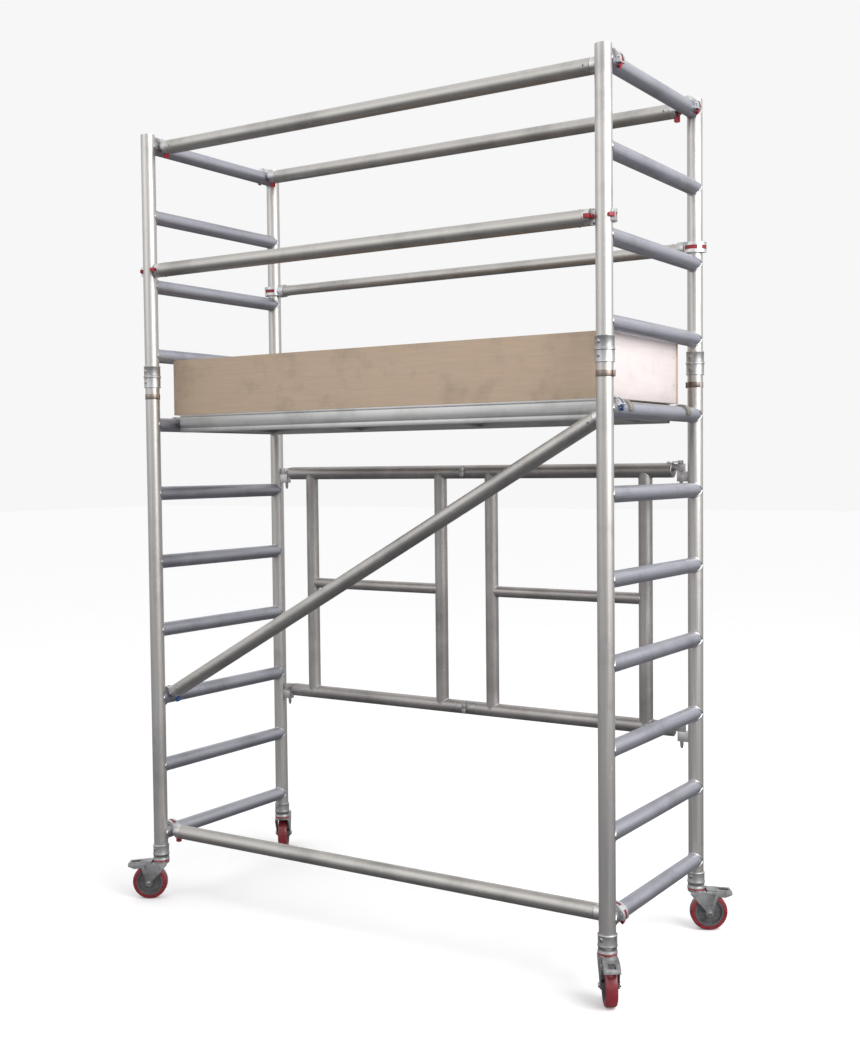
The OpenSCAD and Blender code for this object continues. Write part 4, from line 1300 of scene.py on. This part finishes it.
# %% Forks
leg = [(-23, crown_z), (30, crown_z), (pedal_x + 6, crown_z - 3.6), (pedal_x + 8, crown_z - 6),
       (pedal_x + 8, crown_z - 18), (pedal_x + 6, crown_z - 20.5), (trail + 13, axle_z + 8)]
leg += [(trail + 13 * math.cos(a), axle_z + 13 * math.sin(a))
        for a in (math.radians(10 - 10 * k) for k in range(21))]
leg += [(trail - 14, axle_z + 8), (-24, crown_z - 8)]
fork_parts = []
for s in (-1, 1):
    fork_parts.append(worked(standing(leg, leg_t, s * (leg_in + leg_t / 2)),
                             cut=[put(rod(5.05, -60, 60, 0), at(trail, 0, axle_z), ALONG_Y),
                                  put(rod(3.08, -60, 60, 0), at(pedal_x, 0, pedal_z), ALONG_Y)]))
fork_parts.append(put(rod(leg_in + leg_t, crown_z - 4, crown_z, 1.2, 72)))
fork_parts.append(block(-23, 30, -leg_in - 1, leg_in + 1, crown_z - 3.6, crown_z - 0.2))
race = turned([(8, crown_z), (sock_r - 2.6, crown_z), (sock_r - 0.6, crown_z + 0.9),
               (sock_r, crown_z + 2), (sock_r, crown_z + 3.4), (sock_r - 0.6, crown_z + 4),
               (8, crown_z + 4)], 72)
nut_z = foot_z + 60.5
stem_rod = turned([(0, crown_z + 0.5), (8, crown_z + 0.5), (8, nut_z), (13, nut_z),
                   (13, nut_z + 6), (0, nut_z + 6)], 48)
hexagon = [(8 * math.cos(math.radians(60 * k)), 8 * math.sin(math.radians(60 * k)))
           for k in range(6)]
out = leg_in + leg_t
axle_parts = [put(rod(5, -out - 4, out + 4, 0.8), at(trail, 0, axle_z), ALONG_Y)]
for a, b in ((out + 0.05, out + 5), (-out - 5, -out - 0.05)):
    axle_parts.append(put(plate(hexagon, a, b), at(trail, 0, axle_z), ALONG_Y))
for name, place in zip(corner_names, caster_places):
    make("fork_" + name, [put(s, place) for s in fork_parts], zinc_finish,
         body="caster_" + name, nodes=["fork_" + name], soft=0.6)
    make("axle_" + name, [put(s, place) for s in [race, stem_rod] + axle_parts], steel_finish,
         body="caster_" + name, soft=0.3)

# %% [markdown]
# The wheel has a grey moulded centre with a hub, a dished web and a rim, and a dark red
# tread bonded round it. Both are turned; six low ribs stiffen the web on each side.

# %% Wheels
rim_r = wheel_r - 14
hub = leg_in - 0.6
half_tread = tread / 2
centre = turned([(5.08, -hub), (14.2, -hub), (15, -hub + 0.8), (15, -12), (17, -9.6),
                 (rim_r - 8, -8.4), (rim_r - 6.4, -10), (rim_r - 6, 1.8 - half_tread),
                 (rim_r - 5.2, 1 - half_tread), (rim_r - 0.8, 1 - half_tread),
                 (rim_r, 1.8 - half_tread), (rim_r, half_tread - 1.8),
                 (rim_r - 0.8, half_tread - 1), (rim_r - 5.2, half_tread - 1),
                 (rim_r - 6, half_tread - 1.8), (rim_r - 6.4, 10), (rim_r - 8, 8.4),
                 (17, 9.6), (15, 12), (15, hub - 0.8), (14.2, hub), (5.08, hub)], 96)
rib = block(13.5, rim_r - 5.5, -1.4, 1.4, -11.5, 11.5)
tyre_in = wheel_r - 13.95
tyre = turned([(tyre_in, -half_tread), (wheel_r - 5.4, -half_tread),
               (wheel_r - 3.2, 1.2 - half_tread), (wheel_r - 1.6, 3 - half_tread),
               (wheel_r - 0.5, 5 - half_tread), (wheel_r, 7.4 - half_tread),
               (wheel_r, half_tread - 7.4), (wheel_r - 0.5, half_tread - 5),
               (wheel_r - 1.6, half_tread - 3), (wheel_r - 3.2, half_tread - 1.2),
               (wheel_r - 5.4, half_tread), (tyre_in, half_tread)], 128)
for name, place in zip(corner_names, caster_places):
    axle = place @ at(trail, 0, axle_z) @ ALONG_Y
    make("rim_" + name, [put(centre, axle)] + [put(rib, axle, turn_z(60 * k)) for k in range(6)],
         rim_finish, body="wheel_" + name, nodes=["rim_" + name])
    make("tyre_" + name, [put(tyre, axle)], tread_finish, body="wheel_" + name,
         nodes=["tyre_" + name])

# %% [markdown]
# The brake pedal is a pressed lever that straddles the fork. It has turned-down cheeks, a
# slot near its end and a shoe under it. The top and the cheeks are separate plates whose
# rounded edges meet as a folded corner.

# %% Brake pedals
cheek = leg_in - 1.5
heel_x = sock_r + 3.5
side_view = [(heel_x, crown_z + 6), (trail + 76, crown_z - 1), (trail + 77, crown_z - 13),
             (trail + 54, crown_z - 22), (pedal_x, crown_z - 19), (heel_x, crown_z - 8)]
top_view = [(heel_x, crown_z + 6), (trail + 76, crown_z - 1), (trail + 76, crown_z - 4),
            (heel_x, crown_z + 3)]
slot_hole = block(trail + 34, trail + 68, -11, 11, crown_z - 30, crown_z + 10)
pedal_parts = [
    worked(standing(top_view, 2 * cheek), cut=[slot_hole]),
    standing(side_view, 2.5, cheek - 1.25), standing(side_view, 2.5, 1.25 - cheek),
    standing([(trail + 74, crown_z - 2), (trail + 76, crown_z - 2), (trail + 77, crown_z - 13),
              (trail + 75, crown_z - 13)], 2 * cheek - 2),
    standing([(pedal_x + 2, crown_z + 1), (pedal_x + 12, crown_z + 1),
              (pedal_x + 12, crown_z - 16), (pedal_x + 6, crown_z - 13)], 24)]
for s in (-1, 1):
    pedal_parts.append(put(rod(3, cheek - 1, leg_in + leg_t + 1.5, 0.4),
                           at(pedal_x, 0, pedal_z), FLIP_Y if s < 0 else Matrix.Identity(4),
                           ALONG_Y))
for name, place in zip(corner_names, caster_places):
    make("pedal_" + name, [put(s, place) for s in pedal_parts], zinc_finish,
         body="pedal_" + name, nodes=["pedal_" + name], soft=0.7)

# %% [markdown]
# ## Studio
# The tower stands on a plain pale floor. The light is soft and nearly white, with one large
# panel on the right that gives every tube its bright edge and a weaker one on the left.

# %% Floor
floor_mesh = bpy.data.meshes.new("floor")
floor_mesh.from_pydata([(-40, -40, 0), (40, -40, 0), (40, 40, 0), (-40, 40, 0)], [],
                       [(0, 1, 2, 3)])
floor = bpy.data.objects.new("floor", floor_mesh)
bpy.context.scene.collection.objects.link(floor)
floor_finish, tree, shader, place = blank_finish("studio floor", "")
pale = tint(tree, noise(tree, place.outputs["Object"], 2.0, 4.0), (0.92, 0.92, 0.92),
            (0.95, 0.95, 0.95))
wire(tree, pale, shader.inputs["Base Color"])
shader.inputs["Roughness"].default_value = 0.9
shader.inputs["Specular IOR Level"].default_value = 0.0
shader.inputs["Emission Color"].default_value = (1.0, 1.0, 1.0, 1.0)
shader.inputs["Emission Strength"].default_value = 0.10
floor_mesh.materials.append(floor_finish)

# %% [markdown]
# Bare metal shows mostly what it reflects, so the studio is not one flat white. The sky
# shades from nearly white overhead to grey at the horizon and dark below, which gives the
# tubes their dark undersides. The eye sees only the pale backdrop behind the tower.

# %% Studio sky
world = bpy.data.worlds.new("studio")
world.use_nodes = True
tree = world.node_tree
tree.nodes.clear()
place = tree.nodes.new("ShaderNodeTexCoord")
split = tree.nodes.new("ShaderNodeSeparateXYZ")
wire(tree, place.outputs["Generated"], split.inputs[0])
shades = tree.nodes.new("ShaderNodeValToRGB")
wire(tree, span_map(tree, split.outputs["Z"], -1.0, 1.0, 0.0, 1.0), shades.inputs[0])
stops = shades.color_ramp.elements
stops[0].position, stops[0].color = 0.0, (0.10, 0.10, 0.11, 1)
stops[1].position, stops[1].color = 1.0, (1.0, 1.0, 1.0, 1)
for where, shade in ((0.32, 0.15), (0.44, 0.36), (0.50, 0.60), (0.64, 0.84)):
    stops.new(where).color = (shade, shade, shade * 1.02, 1)
sky = tree.nodes.new("ShaderNodeBackground")
wire(tree, shades.outputs[0], sky.inputs["Color"])
sky.inputs["Strength"].default_value = 1.0
backdrop = tree.nodes.new("ShaderNodeBackground")
backdrop.inputs["Color"].default_value = (0.93, 0.93, 0.93, 1.0)
either = tree.nodes.new("ShaderNodeMixShader")
wire(tree, tree.nodes.new("ShaderNodeLightPath").outputs["Is Camera Ray"], either.inputs[0])
wire(tree, sky.outputs[0], either.inputs[1])
wire(tree, backdrop.outputs[0], either.inputs[2])
wire(tree, either.outputs[0], tree.nodes.new("ShaderNodeOutputWorld").inputs[0])
bpy.context.scene.world = world
floor.visible_glossy = False
print("sky stops", len(stops))


# %% Light panels
def panel_light(name, place, target, size, power):
    """A square soft light that looks at a point."""
    data = bpy.data.lights.new(name, "AREA")
    data.shape, data.size, data.energy = "SQUARE", size, power
    lamp = bpy.data.objects.new(name, data)
    lamp.location = place
    lamp.rotation_euler = (Vector(target) - Vector(place)).to_track_quat("-Z", "Y").to_euler()
    bpy.context.scene.collection.objects.link(lamp)


panel_light("right panel", (4.4, -0.8, 3.5), (0, 0, 1.6), 3.8, 200)
panel_light("left panel", (-2.6, -5.4, 4.0), (0, 0, 1.3), 4.0, 45)

# %% [markdown]
# The camera stands a little over four metres off, to the right of the front, at about chest
# height, and looks slightly down. Its lens is a mild telephoto, so the far frame looks only
# a little smaller than the near one.

# %% Camera
yaw, pitch, roll = math.radians(32.86), math.radians(2.41), math.radians(-0.59)
ahead = Vector((-math.sin(yaw) * math.cos(pitch), math.cos(yaw) * math.cos(pitch),
                -math.sin(pitch)))
right = Vector((math.cos(yaw), math.sin(yaw), 0))
above = right.cross(ahead)
rolled = math.cos(roll) * right + math.sin(roll) * above
upper = -math.sin(roll) * right + math.cos(roll) * above
eye = Vector((2.545, -3.836, 1.574))
lens = bpy.data.cameras.new("camera")
lens.sensor_width, lens.sensor_fit = 36.0, "AUTO"
lens.lens = 36.0 * 1316.8 / 1046
lens.clip_end = 200
camera = bpy.data.objects.new("camera", lens)
camera.matrix_world = Matrix((
    (rolled.x, upper.x, -ahead.x, eye.x), (rolled.y, upper.y, -ahead.y, eye.y),
    (rolled.z, upper.z, -ahead.z, eye.z), (0, 0, 0, 1)))
bpy.context.scene.collection.objects.link(camera)
bpy.context.scene.camera = camera
bpy.context.scene.view_settings.view_transform = "Standard"
print("lens %.1f mm" % lens.lens)
